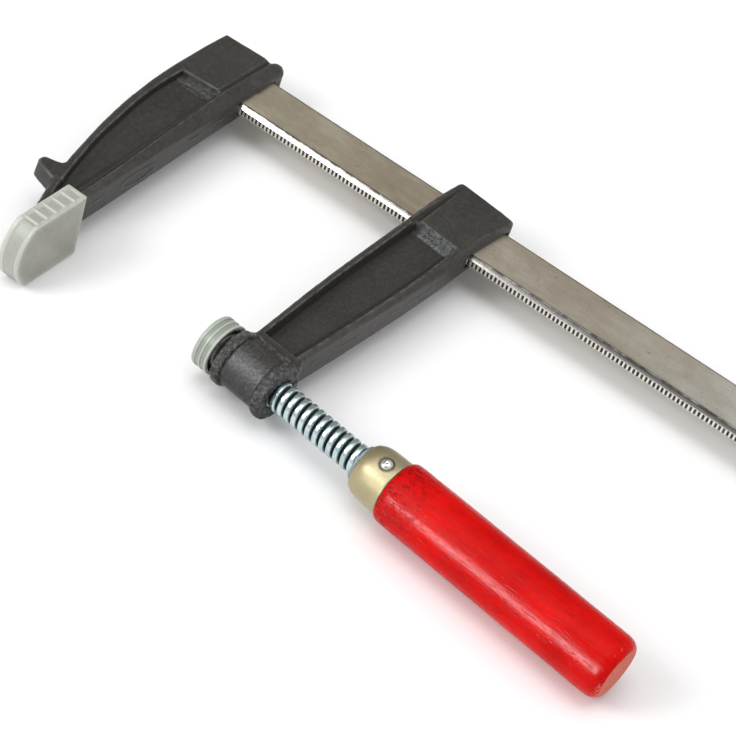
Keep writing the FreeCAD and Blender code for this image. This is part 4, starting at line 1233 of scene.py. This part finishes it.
def build_world():
    world = bpy.data.worlds.new("studio")
    bpy.context.scene.world = world
    sky = Nodes(world, "Background", "OutputWorld", "Generated")

    def toward(*direction):
        """Cosine of the angle between the view ray and a direction."""
        node = sky.add("VectorMath")
        node.operation = "DOT_PRODUCT"
        sky.put(node.inputs[0], sky.coords)
        node.inputs[1].default_value = Vector(direction).normalized()
        return node.outputs["Value"]

    # a pale sky that dims one way, a dark patch, and a bright box overhead
    pale = sky.ramp(toward(-0.45, 0.62, 0.64), [(0.30, (0.96, 0.97, 1.0)),
                                                (0.92, (0.40, 0.385, 0.36))], "EASE")
    patch = sky.ramp(toward(0.10, -0.64, 0.76), [(0.928, (1.0, 1.0, 1.0)),
                                                 (0.958, (0.10, 0.10, 0.10))], "EASE")
    box = sky.fade(toward(-0.15, -0.165, 0.97), over=(0.90, 0.982), to=(1.0, 5.4),
                   interpolation="SMOOTHSTEP")
    sky.set(Color=sky.tint(pale, patch, by=1.0, blend="MULTIPLY"), Strength=sky.times(box, 0.80))


def add_area(name, place, target, power, width, height):
    light = bpy.data.lights.new(name, "AREA")
    light.energy = power
    light.shape = "RECTANGLE"
    light.size = width
    light.size_y = height
    lamp = bpy.data.objects.new(name, light)
    lamp.location = place
    lamp.rotation_mode = "QUATERNION"
    lamp.rotation_quaternion = (Vector(target) - Vector(place)).to_track_quat("-Z", "Y")
    bpy.context.scene.collection.objects.link(lamp)
    return lamp


def build_lights():
    add_area("key", (-0.64, -0.94, 0.94), LIGHT_TARGET, power=11.0, width=0.60, height=0.60)
    add_area("top", (0.35, 0.45, 1.6), LIGHT_TARGET, power=5.0, width=1.4, height=1.4)
    # long low strips that draw the highlight along the lacquer and round the ferrule
    for name, power, height in (("handle_turning", 30.0, 0.27), ("ferrule_cup", 2.3, 0.10)):
        strip = add_area("strip_" + name, STRIP_PLACE, STRIP_TARGET, power, 0.60, height)
        strip.visible_diffuse = False
        strip.visible_camera = False
        lit = bpy.data.collections.new("lit_" + name)
        lit.objects.link(bpy.data.objects[name])
        strip.light_linking.receiver_collection = lit


build_floor()
build_world()
build_lights()

# ------------------------------------------------------------------- camera
CAMERA_RIGHT = (0.7955995154098002, 0.5479974459748594, 0.25830255570691124)
CAMERA_UP = (-0.546189831309504, 0.4643583908420642, 0.6971713942988942)
CAMERA_BACK = (0.2621031843640717, -0.6957514527901465, 0.6687539433054684)
CAMERA_PLACE = (0.38870668, -0.61075714, 0.63463085)

lens = bpy.data.cameras.new("photo_camera")
camera = bpy.data.objects.new("photo_camera", lens)
bpy.context.scene.collection.objects.link(camera)
camera.matrix_world = Matrix(((*CAMERA_RIGHT, 0), (*CAMERA_UP, 0), (*CAMERA_BACK, 0),
                              (*CAMERA_PLACE, 1))).transposed()
lens.sensor_width = 36.0
lens.lens = 106.8348913
lens.clip_start = 0.01
lens.clip_end = 30.0
bpy.context.scene.camera = camera
bpy.context.scene.view_settings.view_transform = "Standard"
bpy.context.scene.view_settings.look = "None"

bpy.context.view_layer.update()
